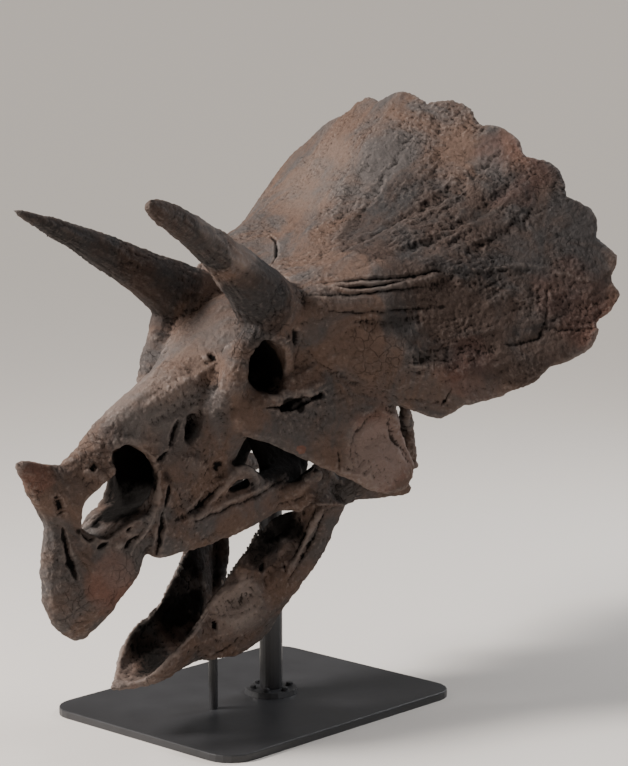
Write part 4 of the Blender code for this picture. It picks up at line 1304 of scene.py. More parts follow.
def carved_cheek() -> list[Stroke]:
    """Return the slits, folds and tooth edge along the upper jaw.

    Returns:
        The strokes, in the order they are cut.
    """
    sharp, both, ridge = Profile.SHARP, Side.BOTH, Profile.ROUND
    return [
        Stroke(((0.35, 0.145, -0.34), (0.315, 0.15, -0.335), (0.265, 0.155, -0.31),
                (0.22, 0.17, -0.29)), 0.020, -0.014, ridge, both, 0.6, 0.003),
        Stroke(((0.30, 0.155, -0.335), (0.23, 0.17, -0.30), (0.175, 0.17, -0.27),
                (0.13, 0.17, -0.275), (0.105, 0.18, -0.295), (0.085, 0.18, -0.335),
                (0.10, 0.175, -0.355)), 0.026, 0.007, ridge, both, -0.1, 0.003),
        Stroke(((0.15, 0.155, -0.335), (0.115, 0.155, -0.33), (0.105, 0.175, -0.335)),
               0.016, -0.006, ridge, both, 0.3, 0.003),
        Stroke(((0.22, 0.15, -0.245), (0.21, 0.15, -0.24)), 0.018, -0.009, ridge, both, 0.5),
        Stroke(((0.395, 0.14, -0.362), (0.305, 0.155, -0.372), (0.21, 0.17, -0.368),
                (0.10, 0.18, -0.375), (-0.06, 0.165, -0.365)), 0.012, -0.005, sharp, both,
               0.4, 0.004),
        Stroke(((0.395, 0.14, -0.35), (0.305, 0.155, -0.358), (0.21, 0.17, -0.353),
                (0.10, 0.18, -0.36), (-0.06, 0.165, -0.352)), 0.018, 0.004, ridge, both,
               -0.15, 0.004),
        Stroke(((-0.27, 0.39, -0.185), (-0.195, 0.365, -0.23), (-0.15, 0.355, -0.255),
                (-0.135, 0.36, -0.30), (-0.125, 0.38, -0.365)), 0.012, -0.002, sharp, both, 0.1),
        Stroke(((-0.275, 0.39, -0.22), (-0.27, 0.40, -0.285), (-0.30, 0.42, -0.36),
                (-0.305, 0.425, -0.44)), 0.012, -0.003, sharp, both, 0.2, 0.003),
    ]


def carved_jaw() -> list[Stroke]:
    """Return the rims, streaks, slits and hollows of the lower jaw.

    Returns:
        The strokes, in the order they are cut.
    """
    sharp, both, ridge = Profile.SHARP, Side.BOTH, Profile.ROUND
    return [
        Stroke(((0.075, 0.155, -0.535), (0.035, 0.165, -0.515), (0.0, 0.175, -0.500),
                (-0.035, 0.185, -0.480)), 0.040, -0.028, Profile.FLAT, both, 1.0, 0.003),
        Stroke(((-0.07, 0.185, -0.47), (-0.045, 0.195, -0.515)), 0.011, 0.006, ridge, both, -0.3),
        Stroke(((-0.085, 0.25, -0.355), (-0.105, 0.255, -0.385)), 0.010, -0.009, ridge, both, 0.9),
        Stroke(((-0.09, 0.26, -0.415), (-0.06, 0.23, -0.49), (-0.02, 0.205, -0.56),
                (0.04, 0.20, -0.615)), 0.009, -0.006, sharp, both, 0.7, 0.003),
        Stroke(((-0.095, 0.28, -0.45), (-0.06, 0.245, -0.54), (0.01, 0.225, -0.615),
                (0.075, 0.205, -0.67)), 0.011, -0.007, sharp, both, 0.6, 0.004),
        Stroke(((-0.095, 0.27, -0.43), (-0.06, 0.238, -0.515), (-0.005, 0.215, -0.588),
                (0.057, 0.203, -0.642)), 0.014, 0.006, ridge, both, -0.45, 0.004),
        Stroke(((-0.125, 0.25, -0.355), (-0.145, 0.257, -0.39), (-0.175, 0.265, -0.43)),
               0.015, 0.006, ridge, both, -0.25),
        Stroke(((0.045, 0.18, -0.61), (0.06, 0.205, -0.64)), 0.010, -0.012, ridge, both, 1.0),
        Stroke(((0.11, 0.155, -0.61), (0.105, 0.155, -0.605)), 0.016, -0.012, ridge, both, 0.9),
        Stroke(((0.31, 0.10, -0.68), (0.235, 0.105, -0.635), (0.19, 0.135, -0.63),
                (0.145, 0.15, -0.635)), 0.017, 0.005, ridge, both, -0.8, 0.006),
        Stroke(((0.315, 0.105, -0.69), (0.285, 0.12, -0.71), (0.255, 0.145, -0.73),
                (0.205, 0.165, -0.725), (0.15, 0.18, -0.70)), 0.017, 0.004, ridge, both,
               -0.7, 0.006),
        Stroke(((0.26, 0.115, -0.68), (0.22, 0.135, -0.68), (0.175, 0.155, -0.675)),
               0.032, -0.008, ridge, both, 0.25, 0.005),
        Stroke(((0.15, 0.16, -0.66), (0.145, 0.16, -0.655)), 0.024, 0.008, ridge, both, -0.5),
        Stroke(((0.30, 0.11, -0.71), (0.305, 0.12, -0.74)), 0.014, -0.014, ridge, both, 1.0),
        Stroke(((0.57, 0.06, -0.805), (0.52, 0.09, -0.78), (0.455, 0.11, -0.745),
                (0.37, 0.108, -0.715), (0.31, 0.105, -0.685)), 0.012, 0.006, ridge, both,
               -1.0, 0.003),
        Stroke(((0.18, 0.11, -0.595), (0.265, 0.095, -0.655), (0.355, 0.09, -0.705),
                (0.53, 0.08, -0.785)), 0.010, 0.003, ridge, both, -0.8, 0.003),
        Stroke(((0.50, 0.11, -0.80), (0.40, 0.13, -0.785), (0.30, 0.14, -0.765)),
               0.030, -0.005, ridge, both, 0.2, 0.008),
        Stroke(((0.46, 0.105, -0.83), (0.34, 0.13, -0.815), (0.22, 0.16, -0.79)),
               0.010, -0.005, sharp, both, 0.5, 0.005),
    ]


@dataclass(frozen=True)
class Relief:
    """Sizes of the bone's natural unevenness, in metres."""

    lump: float = 0.0035
    lump_size: float = 0.085
    knot: float = 0.0016
    knot_size: float = 0.026
    flow: float = 0.0085
    flow_count: float = 7.5
    rock: float = 0.0026
    rock_size: float = 0.075
    grit: float = 0.0011
    grit_size: float = 0.013
    warp: float = 0.020
    warp_size: float = 0.12
    flow_ripple: float = 5.5
    horn: float = 0.0017
    horn_grooves: float = 3.2
    horn_length_share: float = 5.0


@dataclass(frozen=True)
class BrowHorn:
    """Where one brow horn grows and how far it reaches."""

    base: Point
    tip: Point

    def axis(self) -> tuple[np.ndarray, float]:
        """Return the horn's direction and length.

        Returns:
            The unit direction, and the length in metres.
        """
        way = np.array(self.tip) - np.array(self.base)
        length = float(np.linalg.norm(way))
        return way / length, length

    def reach(self, points: np.ndarray) -> tuple[np.ndarray, np.ndarray]:
        """Return each point's share along the horn and its offset from the axis.

        Args:
            points: Places, in the skull's axes.

        Returns:
            The shares, and the offsets in metres.
        """
        way, length = self.axis()
        gap = points - np.array(self.base)
        along = gap @ way
        return along / length, gap - np.outer(along, way)


@dataclass
class UpperSkull:
    """The skull without its lower jaw, as one sculpted skin in ten pieces."""

    skull: SkullFrame
    voxel: float = 0.0043
    nodes: list[str] = field(default_factory=lambda: [
        "cranium", "snout", "rostral_beak", "nasal_horn", "brow_horn_left",
        "brow_horn_right", "frill_parietal", "squamosal_left", "squamosal_right",
        "jugal_left", "jugal_right", "quadrate_left", "quadrate_right",
        "maxilla_left", "maxilla_right"])
    relief: Relief = Relief()
    lumps: tuple[Lump, ...] = (
        Lump(((0.612, 0.032, -0.135), (0.580, 0.036, -0.152), (0.545, 0.042, -0.150)),
             (0.024, 0.032, 0.028)),
        Lump(((-0.005, 0.170, -0.415), (-0.045, 0.205, -0.400), (-0.090, 0.235, -0.370)),
             (0.026, 0.028, 0.024)),
        Lump(((0.010, 0.168, -0.445), (-0.045, 0.195, -0.452), (-0.085, 0.222, -0.430)),
             (0.018, 0.024, 0.022)))
    calm: tuple[tuple[Point, float, int], ...] = (
        ((0.105, 0.190, 0.030), 0.085, 130), ((0.085, 0.200, -0.070), 0.065, 90),
        ((0.25, 0.09, 0.00), 0.10, 60), ((0.17, 0.15, -0.14), 0.07, 60))
    middle: Cut = Cut((0.0, 0.0, 0.0), (0.0, 1.0, 0.0))
    frill_seam: Cut = Cut((-0.42, 0.0, 0.18), (-0.8, 0.0, 0.6))
    snout_seam: Cut = Cut((0.155, 0.0, 0.0), (1.0, 0.0, 0.0))
    cheek_seam: Cut = Cut((0.0, 0.0, 0.02), (0.0, 0.0, 1.0))
    squamosal_seams: dict[str, Cut] = field(default_factory=lambda: {
        "left": Cut((-0.41, 0.376, 0.0), (0.555, 0.832, 0.0)),
        "right": Cut((-0.41, -0.376, 0.0), (0.555, -0.832, 0.0))})
    fair_rounds: int = 26
    fair_most: float = 0.0055
    carving_seed: int = 11
    relief_seed: int = 23
    horns: tuple[BrowHorn, ...] = (
        BrowHorn((-0.070, 0.177, 0.155), (0.440, 0.290, 0.631)),
        BrowHorn((-0.070, -0.177, 0.155), (0.456, -0.290, 0.588)))

    def build(self, finish: bpy.types.Material) -> list[bpy.types.Object]:
        """Sculpt the skin and return its pieces.

        Args:
            finish: The bone material.

        Returns:
            The pieces, each riding on the model's body.
        """
        whole = self.sculpted()
        pieces = []
        for side, half in zip(("left", "right"), split(whole, self.middle, self.skull)):
            back, front = split(half, self.frill_seam, self.skull)
            snout, head = split(front, self.snout_seam, self.skull)
            outer, inner = split(back, self.squamosal_seams[side], self.skull)
            head, cheek = split(head, self.cheek_seam, self.skull)
            parts = {"squamosal": outer, "frill": inner, "head": head, "cheek": cheek,
                     "snout": snout}
            for name, mesh in parts.items():
                pieces.append(placed(mesh, f"skull_{name}_{side}", finish))
                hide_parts(*self.owned(name, side))
        return pieces

    def sculpted(self) -> bpy.types.Mesh:
        """Carve, roughen and stain the whole skin.

        Returns:
            The finished mesh, in the world.
        """
        form = grown_form(self.nodes, self.lumps, self.skull, self.voxel, "upper_skull_form")
        skin = Skin(form, self.skull)
        LOG.info("upper skull: %d points", len(skin.co))
        skin.fair(self.fair_rounds, self.fair_most)
        for centre, reach, rounds in self.calm:
            skin.settle(centre, reach, rounds)
        grain = Grain(self.carving_seed)
        for stroke in carved_face() + carved_nostril() + carved_cheek() + carved_frill():
            skin.carve(stroke, grain)
        skin.normals = skin.facing()
        skin.press(self.unevenness(skin))
        skin.normals = skin.facing()
        for stain_and_shade in upper_colour_patches():
            skin.tint(stain_and_shade, grain)
        whole = dressed(skin, finished_marks(skin))
        bpy.data.objects.remove(form, do_unlink=True)
        return whole

    @staticmethod
    def owned(region: str, side: str) -> list[str]:
        """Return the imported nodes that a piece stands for.

        Args:
            region: The part of the skull that the piece shows.
            side: The side that it is on.

        Returns:
            The names of the nodes.
        """
        return {"squamosal": ["squamosal_" + side], "frill": ["frill_parietal"],
                "head": ["cranium", "brow_horn_" + side],
                "cheek": ["cranium", "jugal_" + side, "quadrate_" + side],
                "snout": ["snout", "rostral_beak", "nasal_horn", "maxilla_" + side]}[region]

    def unevenness(self, skin: Skin) -> np.ndarray:
        """Return the height of lumps, knots, rocky folds and horn grooves.

        Args:
            skin: The carved skin.

        Returns:
            One height for each point, in metres.
        """
        r = self.relief
        p = skin.co
        grain = Grain(self.relief_seed)
        height = r.lump * grain.rough(p / r.lump_size, 2)
        on_frill = eased(-p[:, 0] - 0.45 * p[:, 2], 0.28, 0.42)
        height += r.knot * (1 - 0.5 * on_frill) * grain.creased(p / r.knot_size, 3)
        height += r.grit * (1.0 + 0.9 * on_frill) * grain.rough(p / r.grit_size, 3, 0.6)
        drift = [grain.rough(p / r.warp_size + 5.0 * k, 2) for k in range(3)]
        bent = p + r.warp * np.stack(drift, 1)
        from_root = bent - np.array((-0.15, 0.0, 0.05))
        reach = np.linalg.norm(from_root, axis=1)
        fan = from_root / reach[:, None] * r.flow_count
        fan[:, 0] += reach * r.flow_ripple
        flow = grain.rough(fan, 6, 0.58)
        rock = grain.rough(bent / r.rock_size, 5, 0.66)
        rough_side = eased(p[:, 1] - 0.02 - 0.31 * (p[:, 0] + 0.765), -0.05, 0.06)
        worn = 0.5 + 0.5 * eased(grain.smooth(p / 0.17 + 7.1), -0.4, 0.4)
        height += on_frill * (0.20 + 0.80 * rough_side * worn) * (r.flow * flow + r.rock * rock)
        for brow in self.horns:
            along, off = brow.reach(p)
            far = np.linalg.norm(off, axis=1)
            turn = off / (far[:, None] + 1e-9) * r.horn_grooves
            turn += np.outer(along, brow.axis()[0]) * r.horn_length_share
            on_horn = eased(along, 0.05, 0.30) * eased(far, 0.16, 0.13)
            on_horn *= 1.0 - 0.5 * eased(along, 0.7, 1.0)
            height += on_horn * r.horn * grain.creased(turn, 3, 0.6)
        broad = eased(grain.smooth(p / 0.16 + 3.3), -0.35, 0.45)
        height *= 0.60 + 0.60 * broad
        return height


@dataclass
class LowerJaw:
    """The lower jaw as one sculpted skin."""

    skull: SkullFrame
    voxel: float = 0.0038
    nodes: list[str] = field(default_factory=lambda: [
        "predentary", "dentary_left", "dentary_right"])
    relief: Relief = Relief(lump=0.0028, lump_size=0.060, knot=0.0018, knot_size=0.024,
                            grit=0.0009, grit_size=0.012)
    streak: float = 0.0008
    streak_size: float = 0.016
    streak_lean: Point = (0.55, 0.25, -0.80)
    streak_pull: float = 0.82
    fair_rounds: int = 22
    fair_most: float = 0.0045
    seed: int = 37
    lumps: tuple[Lump, ...] = (
        Lump(((-0.020, 0.135, -0.600), (0.005, 0.135, -0.680), (0.045, 0.126, -0.738),
              (0.085, 0.118, -0.770)), (0.020, 0.022, 0.022, 0.018)),)

    def build(self, finish: bpy.types.Material) -> list[bpy.types.Object]:
        """Sculpt the skin and return it.

        Args:
            finish: The bone material.

        Returns:
            The one piece, riding on the model's body.
        """
        form = grown_form(self.nodes, self.lumps, self.skull, self.voxel, "lower_jaw_form")
        skin = Skin(form, self.skull)
        LOG.info("lower jaw: %d points", len(skin.co))
        skin.fair(self.fair_rounds, self.fair_most)
        grain = Grain(self.seed)
        for stroke in carved_jaw():
            skin.carve(stroke, grain)
        skin.normals = skin.facing()
        skin.press(self.unevenness(skin.co, grain))
        skin.normals = skin.facing()
        for stain_and_shade in jaw_colour_patches():
            skin.tint(stain_and_shade, grain)
        jaw = placed(dressed(skin, finished_marks(skin)), "lower_jaw", finish)
        bpy.data.objects.remove(form, do_unlink=True)
        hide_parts(*self.nodes)
        return [jaw]

    def unevenness(self, points: np.ndarray, grain: Grain) -> np.ndarray:
        """Return the height of lumps, knots, drawn-out streaks and grit.

        Args:
            points: The skin's points, in the skull's axes.
            grain: The random relief to read.

        Returns:
            One height for each point, in metres.
        """
        r = self.relief
        lean = np.array(self.streak_lean)
        drawn = points - self.streak_pull * np.outer(points @ lean, lean)
        height = r.lump * grain.rough(points / r.lump_size, 2)
        height += r.knot * grain.creased(points / r.knot_size, 3)
        height += self.streak * grain.rough(drawn / self.streak_size, 3)
        height += r.grit * grain.rough(points / r.grit_size, 2)
        return height


def upper_colour_patches() -> list[ColourPatch]:
    """Return the patches of colour of the upper skull, painted shade and painted light among them.

    Returns:
        The patches, in the order they are laid.
    """
    return [
        ColourPatch((-0.22, 0.40, -0.33), 0.18, Tone.RED, 0.38, Side.BOTH),
        ColourPatch((0.62, 0.07, -0.45), 0.15, Tone.RED, 0.35, Side.BOTH),
        ColourPatch((0.80, 0.0, -0.05), 0.12, Tone.RED, 0.3),
        ColourPatch((-0.75, 0.75, 0.02), 0.20, Tone.RED, 0.30, Side.BOTH),
        ColourPatch((-0.45, 0.62, -0.12), 0.16, Tone.RED, 0.3, Side.BOTH),
        ColourPatch((-0.90, 0.44, 0.39), 0.20, Tone.RED, 0.22),
        ColourPatch((0.0, 0.29, -0.25), 0.020, Tone.RED, 0.7, Side.BOTH),
        ColourPatch((0.42, 0.28, 0.60), 0.30, Tone.CHAR_AND_SHADE, 1.0, Side.BOTH),
        ColourPatch((0.33, -0.26, 0.49), 0.24, Tone.CHAR_AND_SHADE, 1.0),
        ColourPatch((0.02, -0.19, 0.24), 0.16, Tone.CHAR_AND_SHADE, 0.7),
        # The next three patches: painted shade on the frill's near half, which faces away from the
        # light.
        ColourPatch((-0.85, 0.64, 0.24), 0.24, Tone.CHAR_AND_SHADE, 0.55),
        ColourPatch((-0.55, 0.25, 0.29), 0.22, Tone.CHAR_AND_SHADE, 0.45),
        ColourPatch((-0.62, 0.60, 0.12), 0.16, Tone.CHAR_AND_SHADE, 0.5),
        ColourPatch((0.20, -0.18, 0.36), 0.26, Tone.CHAR_AND_SHADE, 0.8),
        ColourPatch((0.24, 0.27, 0.40), 0.12, Tone.CHAR_AND_SHADE, 0.7),
        ColourPatch((-0.72, -0.20, 0.37), 0.26, Tone.PALE, 0.25),
        # Painted shade: near black inside the nostril chamber, eye socket, pterygoid and palate.
        ColourPatch((0.50, 0.0, -0.23), 0.10, Tone.PAINTED_SHADE, 1.0),
        ColourPatch((0.44, 0.0, -0.20), 0.12, Tone.PAINTED_SHADE, 1.0),
        ColourPatch((0.36, 0.0, -0.20), 0.13, Tone.PAINTED_SHADE, 1.0),
        ColourPatch((0.31, 0.0, -0.20), 0.13, Tone.PAINTED_SHADE, 1.0),
        ColourPatch((0.014, 0.17, 0.008), 0.10, Tone.PAINTED_SHADE, 1.0, Side.BOTH),
        ColourPatch((0.03, 0.14, -0.30), 0.13, Tone.PAINTED_SHADE, 1.0, Side.BOTH),
        ColourPatch((0.10, 0.0, -0.36), 0.20, Tone.PAINTED_SHADE, 1.0),
        # Painted shade on every wall around these centres: nostril floor, pterygoid and palate.
        ColourPatch((0.50, 0.0, -0.31), 0.085, Tone.PAINTED_SHADE, 1.0, all_round=True),
        ColourPatch((0.50, 0.0, -0.24), 0.085, Tone.PAINTED_SHADE, 1.0, all_round=True),
        ColourPatch((0.43, -0.02, -0.27), 0.120, Tone.PAINTED_SHADE, 1.0, all_round=True),
        ColourPatch((0.36, -0.02, -0.26), 0.120, Tone.PAINTED_SHADE, 1.0, all_round=True),
        ColourPatch((0.44, 0.0, -0.19), 0.100, Tone.PAINTED_SHADE, 1.0, all_round=True),
        ColourPatch((0.04, 0.10, -0.32), 0.105, Tone.PAINTED_SHADE, 1.0, Side.BOTH, all_round=True),
        ColourPatch((-0.05, 0.10, -0.31), 0.105, Tone.PAINTED_SHADE, 1.0, Side.BOTH, all_round=True),
        ColourPatch((-0.15, 0.05, -0.39), 0.120, Tone.PAINTED_SHADE, 1.0, Side.BOTH, all_round=True),
        ColourPatch((-0.09, 0.12, -0.35), 0.090, Tone.PAINTED_SHADE, 1.0, Side.BOTH, all_round=True),
        ColourPatch((-0.12, 0.0, -0.32), 0.130, Tone.PAINTED_SHADE, 1.0, all_round=True),
        ColourPatch((-0.01, 0.12, -0.36), 0.080, Tone.PAINTED_SHADE, 1.0, Side.BOTH, all_round=True),
        # Painted shade: broad charcoal patches over the frill's near half.
        ColourPatch((-0.62, 0.40, 0.22), 0.34, Tone.CHAR_AND_SHADE, 0.42),
        ColourPatch((-0.60, 0.62, 0.02), 0.34, Tone.CHAR_AND_SHADE, 0.58),
        ColourPatch((-0.42, 0.50, 0.10), 0.20, Tone.CHAR_AND_SHADE, 0.40),
        ColourPatch((-0.86, 0.60, 0.22), 0.34, Tone.CHAR_AND_SHADE, 0.62),
        ColourPatch((-0.80, 0.28, 0.38), 0.26, Tone.CHAR_AND_SHADE, 0.30),
        ColourPatch((-0.22, 0.40, -0.33), 0.15, Tone.PALE, 0.80, Side.BOTH),
        # Painted light: the snout's top is paled where light falls on it.
        ColourPatch((0.35, 0.05, 0.0), 0.18, Tone.PALE, 0.50),
        ColourPatch((0.10, 0.0, 0.10), 0.15, Tone.PALE, 0.25),
        ColourPatch((0.60, 0.07, -0.42), 0.11, Tone.PALE, 0.25, Side.BOTH),
        # Painted shade in the notch between cheek and frill.
        ColourPatch((-0.34, 0.30, -0.22), 0.10, Tone.PAINTED_SHADE, 0.9, Side.BOTH),
        ColourPatch((0.02, 0.25, 0.22), 0.18, Tone.CHAR_AND_SHADE, 0.95, Side.BOTH),
        ColourPatch((0.20, 0.27, 0.50), 0.07, Tone.PALE, 0.5),
        ColourPatch((0.06, 0.26, 0.36), 0.08, Tone.PALE, 0.45),
    ]


def jaw_colour_patches() -> list[ColourPatch]:
    """Return the patches of colour of the lower jaw, painted shade among them.

    Returns:
        The patches, in the order they are laid.
    """
    return [
        # Painted shade: near black inside the mouth between the jaw's blades.
        ColourPatch((0.44, 0.0, -0.74), 0.15, Tone.PAINTED_SHADE, 1.0),
        ColourPatch((0.36, 0.0, -0.70), 0.16, Tone.PAINTED_SHADE, 1.0),
        ColourPatch((0.26, 0.0, -0.66), 0.17, Tone.PAINTED_SHADE, 1.0),
        ColourPatch((0.50, 0.0, -0.765), 0.09, Tone.PAINTED_SHADE, 0.9),
        ColourPatch((0.12, 0.0, -0.60), 0.17, Tone.PAINTED_SHADE, 0.9),
        ColourPatch((0.02, -0.14, -0.67), 0.14, Tone.CHAR_AND_SHADE, 1.0),
        ColourPatch((0.22, 0.13, -0.690), 0.110, Tone.PALE, 0.85, Side.BOTH),
        # The next five patches: painted shade on the walls of the hollows beside the coronoid and
        # under the mouth.
        ColourPatch((0.01, 0.172, -0.490), 0.065, Tone.PAINTED_SHADE, 1.0, Side.BOTH, all_round=True),
        ColourPatch((-0.01, 0.182, -0.530), 0.050, Tone.PAINTED_SHADE, 0.9, Side.BOTH, all_round=True),
        ColourPatch((0.065, 0.155, -0.540), 0.055, Tone.PAINTED_SHADE, 0.9, Side.BOTH, all_round=True),
        ColourPatch((0.115, 0.145, -0.570), 0.045, Tone.PAINTED_SHADE, 0.8, Side.BOTH, all_round=True),
        ColourPatch((0.0, 0.0, -0.54), 0.17, Tone.PAINTED_SHADE, 0.8),
        # The next four patches: painted shade where the jaw lies under the upper jaw.
        ColourPatch((0.025, 0.17, -0.505), 0.055, Tone.CHAR_AND_SHADE, 1.0, Side.BOTH),
        ColourPatch((0.10, 0.135, -0.545), 0.10, Tone.CHAR_AND_SHADE, 1.0, Side.BOTH),
        ColourPatch((0.02, 0.165, -0.50), 0.09, Tone.CHAR_AND_SHADE, 1.0, Side.BOTH),
        ColourPatch((0.24, 0.11, -0.60), 0.08, Tone.CHAR_AND_SHADE, 0.8, Side.BOTH),
        ColourPatch((0.56, 0.03, -0.84), 0.10, Tone.PALE, 0.3, Side.BOTH),
    ]


def tree_of(mesh: bpy.types.Mesh) -> BVHTree:
    """Return a search tree of a mesh's faces.

    Args:
        mesh: The mesh to search.

    Returns:
        The tree.
    """
    bm = bmesh.new()
    bm.from_mesh(mesh)
    tree = BVHTree.FromBMesh(bm)
    bm.free()
    return tree


def finished_marks(skin: Skin) -> dict[str, np.ndarray]:
    """Return every mark that the material reads, one value for each point.

    Args:
        skin: The carved and stained skin.

    Returns:
        The marks by name.
    """
    fine = skin.heights(3)
    broad = skin.heights(24)
    LOG.info("relief spread: fine %.5f, broad %.5f", fine.std(), broad.std())
    fine /= 3.0 * fine.std()
    broad /= 3.0 * broad.std()
    marks = dict(skin.marks)
    # Height against the surroundings: creases get painted shade, and ridges a painted highlight with
    # wear.
    marks["relief"] = np.clip(0.55 * fine + 0.75 * broad, -1, 1)
    # How shut in each point is, painted as shade in hollows.
    marks["hollow"] = skin.hollows(tree_of(skin.mesh))
    marks["stain_and_shade"] = skin.spread(marks["stain_and_shade"], 1)
    return marks


def dressed(skin: Skin, marks: dict[str, np.ndarray]) -> bpy.types.Mesh:
    """Return a skin as a mesh in the world that carries its marks and normals.

    Args:
        skin: The finished skin.
        marks: Its marks by name.

    Returns:
        The mesh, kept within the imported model's box.
    """
    margin = 0.0004
    low, high = (np.array(corner) for corner in CAD_BOX)
    world = np.clip(skin.skull.to_world(skin.co), low + margin, high - margin)
    mesh = skin.mesh.copy()
    mesh.vertices.foreach_set("co", world.ravel())
    for key, values in marks.items():
        layer = mesh.attributes.new(key, "FLOAT", "POINT")
        layer.data.foreach_set("value", values.astype(np.float32))
    turn = np.array(skin.skull.matrix())[:3, :3]
    layer = mesh.attributes.new("facing", "FLOAT_VECTOR", "POINT")
    layer.data.foreach_set("vector", (skin.normals @ turn.T).astype(np.float32).ravel())
    mesh.update()
    return mesh


def split(mesh: bpy.types.Mesh, cut: Cut, skull: SkullFrame) -> list[bpy.types.Mesh]:
    """Cut a closed mesh flat into two closed meshes.

    Args:
        mesh: The mesh, in the world.
        cut: The plane, in the skull's axes.
        skull: Where the skull's axes are.

    Returns:
        The part above the plane and the part below it.
    """
    matrix = skull.matrix()
    place, rise = matrix @ Vector(cut.place), matrix.to_3x3() @ Vector(cut.rise)
    halves = []
    for above in (True, False):
        bm = bmesh.new()
        bm.from_mesh(mesh)
        found = bmesh.ops.bisect_plane(bm, geom=bm.verts[:] + bm.edges[:] + bm.faces[:],
                                       dist=1e-5, plane_co=place, plane_no=rise,
                                       clear_inner=above, clear_outer=not above)
        rim = [g for g in found["geom_cut"]
               if isinstance(g, bmesh.types.BMEdge) and g.is_boundary]
        bmesh.ops.triangle_fill(bm, edges=rim, normal=-rise if above else rise)
        half = mesh.copy()
        bm.to_mesh(half)
        open_edges = sum(1 for e in bm.edges if not e.is_manifold)
        LOG.info("cut: %d faces, %d open edges", len(bm.faces), open_edges)
        bm.free()
        halves.append(half)
    return halves


def placed(mesh: bpy.types.Mesh, name: str, finish: bpy.types.Material) -> bpy.types.Object:
    """Put a finished mesh into the scene as a piece of bone.

    Args:
        mesh: The finished mesh.
        name: Name of the piece.
        finish: The bone material.

    Returns:
        The piece, riding on the model's body.
    """
    flat = np.empty(len(mesh.vertices) * 3, np.float32)
    mesh.attributes["facing"].data.foreach_get("vector", flat)
    mesh.attributes.remove(mesh.attributes["facing"])
    mesh.shade_smooth()
    mesh.normals_split_custom_set_from_vertices(flat.reshape(-1, 3).tolist())
    mesh.materials.clear()
    mesh.materials.append(finish)
    mesh.name = name
    piece = bpy.data.objects.new(name, mesh)
    bpy.context.scene.collection.objects.link(piece)
    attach(piece, "root")
    triangles = sum(len(p.vertices) - 2 for p in mesh.polygons)
    LOG.info("%s: %d triangles", name, triangles)
    return piece


@dataclass
class Teeth:
    """Rows of dark worn teeth along both jaws, modelled once and copied."""

    skull: SkullFrame
    width: float = 0.0125
    thickness: float = 0.0120
    height: float = 0.020
    pitch: float = 0.0118
    rows: dict[str, tuple[tuple[Point, ...], float]] = field(default_factory=lambda: {
        "upper": (((0.300, 0.134, -0.444), (0.225, 0.150, -0.442), (0.095, 0.156, -0.446),
                   (-0.080, 0.153, -0.446)), -1.0),
        "lower": (((0.225, 0.098, -0.622), (0.17, 0.112, -0.590), (0.13, 0.118, -0.560),
                   (0.065, 0.128, -0.502)), 1.0)})

    def tooth(self) -> bpy.types.Object:
        """Model one blunt six-sided tooth with bevelled edges, standing upright.

        Returns:
            The tooth, to be copied and then removed.
        """
        bpy.ops.object.select_all(action="DESELECT")
        bpy.ops.mesh.primitive_cone_add(vertices=6, radius1=self.width / 2,
                                        radius2=self.width / 3.4, depth=self.height)
        tooth = bpy.context.object
        only(tooth)
        bpy.ops.object.mode_set(mode="EDIT")
        bpy.ops.mesh.select_all(action="SELECT")
        bpy.ops.transform.resize(value=(1.0, self.thickness / self.width, 1.0))
        bpy.ops.mesh.bevel(offset=self.width * 0.09, segments=1, affect="EDGES")
        bpy.ops.mesh.normals_make_consistent(inside=False)
        bpy.ops.object.mode_set(mode="OBJECT")
        return tooth

    def build(self, finish: bpy.types.Material) -> list[bpy.types.Object]:
        """Set the teeth along each jaw.

        Args:
            finish: The material of the teeth.

        Returns:
            One piece for each row.
        """
        first = self.tooth()
        rng = np.random.default_rng(3)
        pieces = []
        owners = {"upper": "maxilla_", "lower": "dentary_"}
        for row, (path, way) in self.rows.items():
            for side, sign in (("left", 1.0), ("right", -1.0)):
                line = np.array(path) * (1.0, sign, 1.0)
                runs = np.linalg.norm(np.diff(line, axis=0), axis=1)
                along = np.concatenate(([0.0], np.cumsum(runs)))
                count = int(along[-1] / self.pitch)
                copies = []
                for place in np.linspace(0, along[-1], count):
                    spot = [np.interp(place, along, line[:, k]) for k in range(3)]
                    lean = rng.normal(0, 0.10, 2)
                    turn = Euler((lean[0] + (math.pi if way < 0 else 0), lean[1],
                                  rng.normal(0, 0.3))).to_matrix().to_4x4()
                    size = Matrix.Diagonal((1, 1, rng.uniform(0.6, 1.45), 1))
                    twin = bpy.data.objects.new("tooth", first.data.copy())
                    bpy.context.scene.collection.objects.link(twin)
                    matrix = self.skull.matrix() @ Matrix.Translation(spot) @ turn @ size
                    twin.data.transform(matrix)
                    copies.append(twin)
                piece = joined(copies, f"teeth_{row}_{side}")
                piece.data.materials.append(finish)
                piece.data.shade_smooth()
                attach(piece, "root")
                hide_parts(owners[row] + side)
                pieces.append(piece)
        bpy.data.objects.remove(first, do_unlink=True)
        return pieces


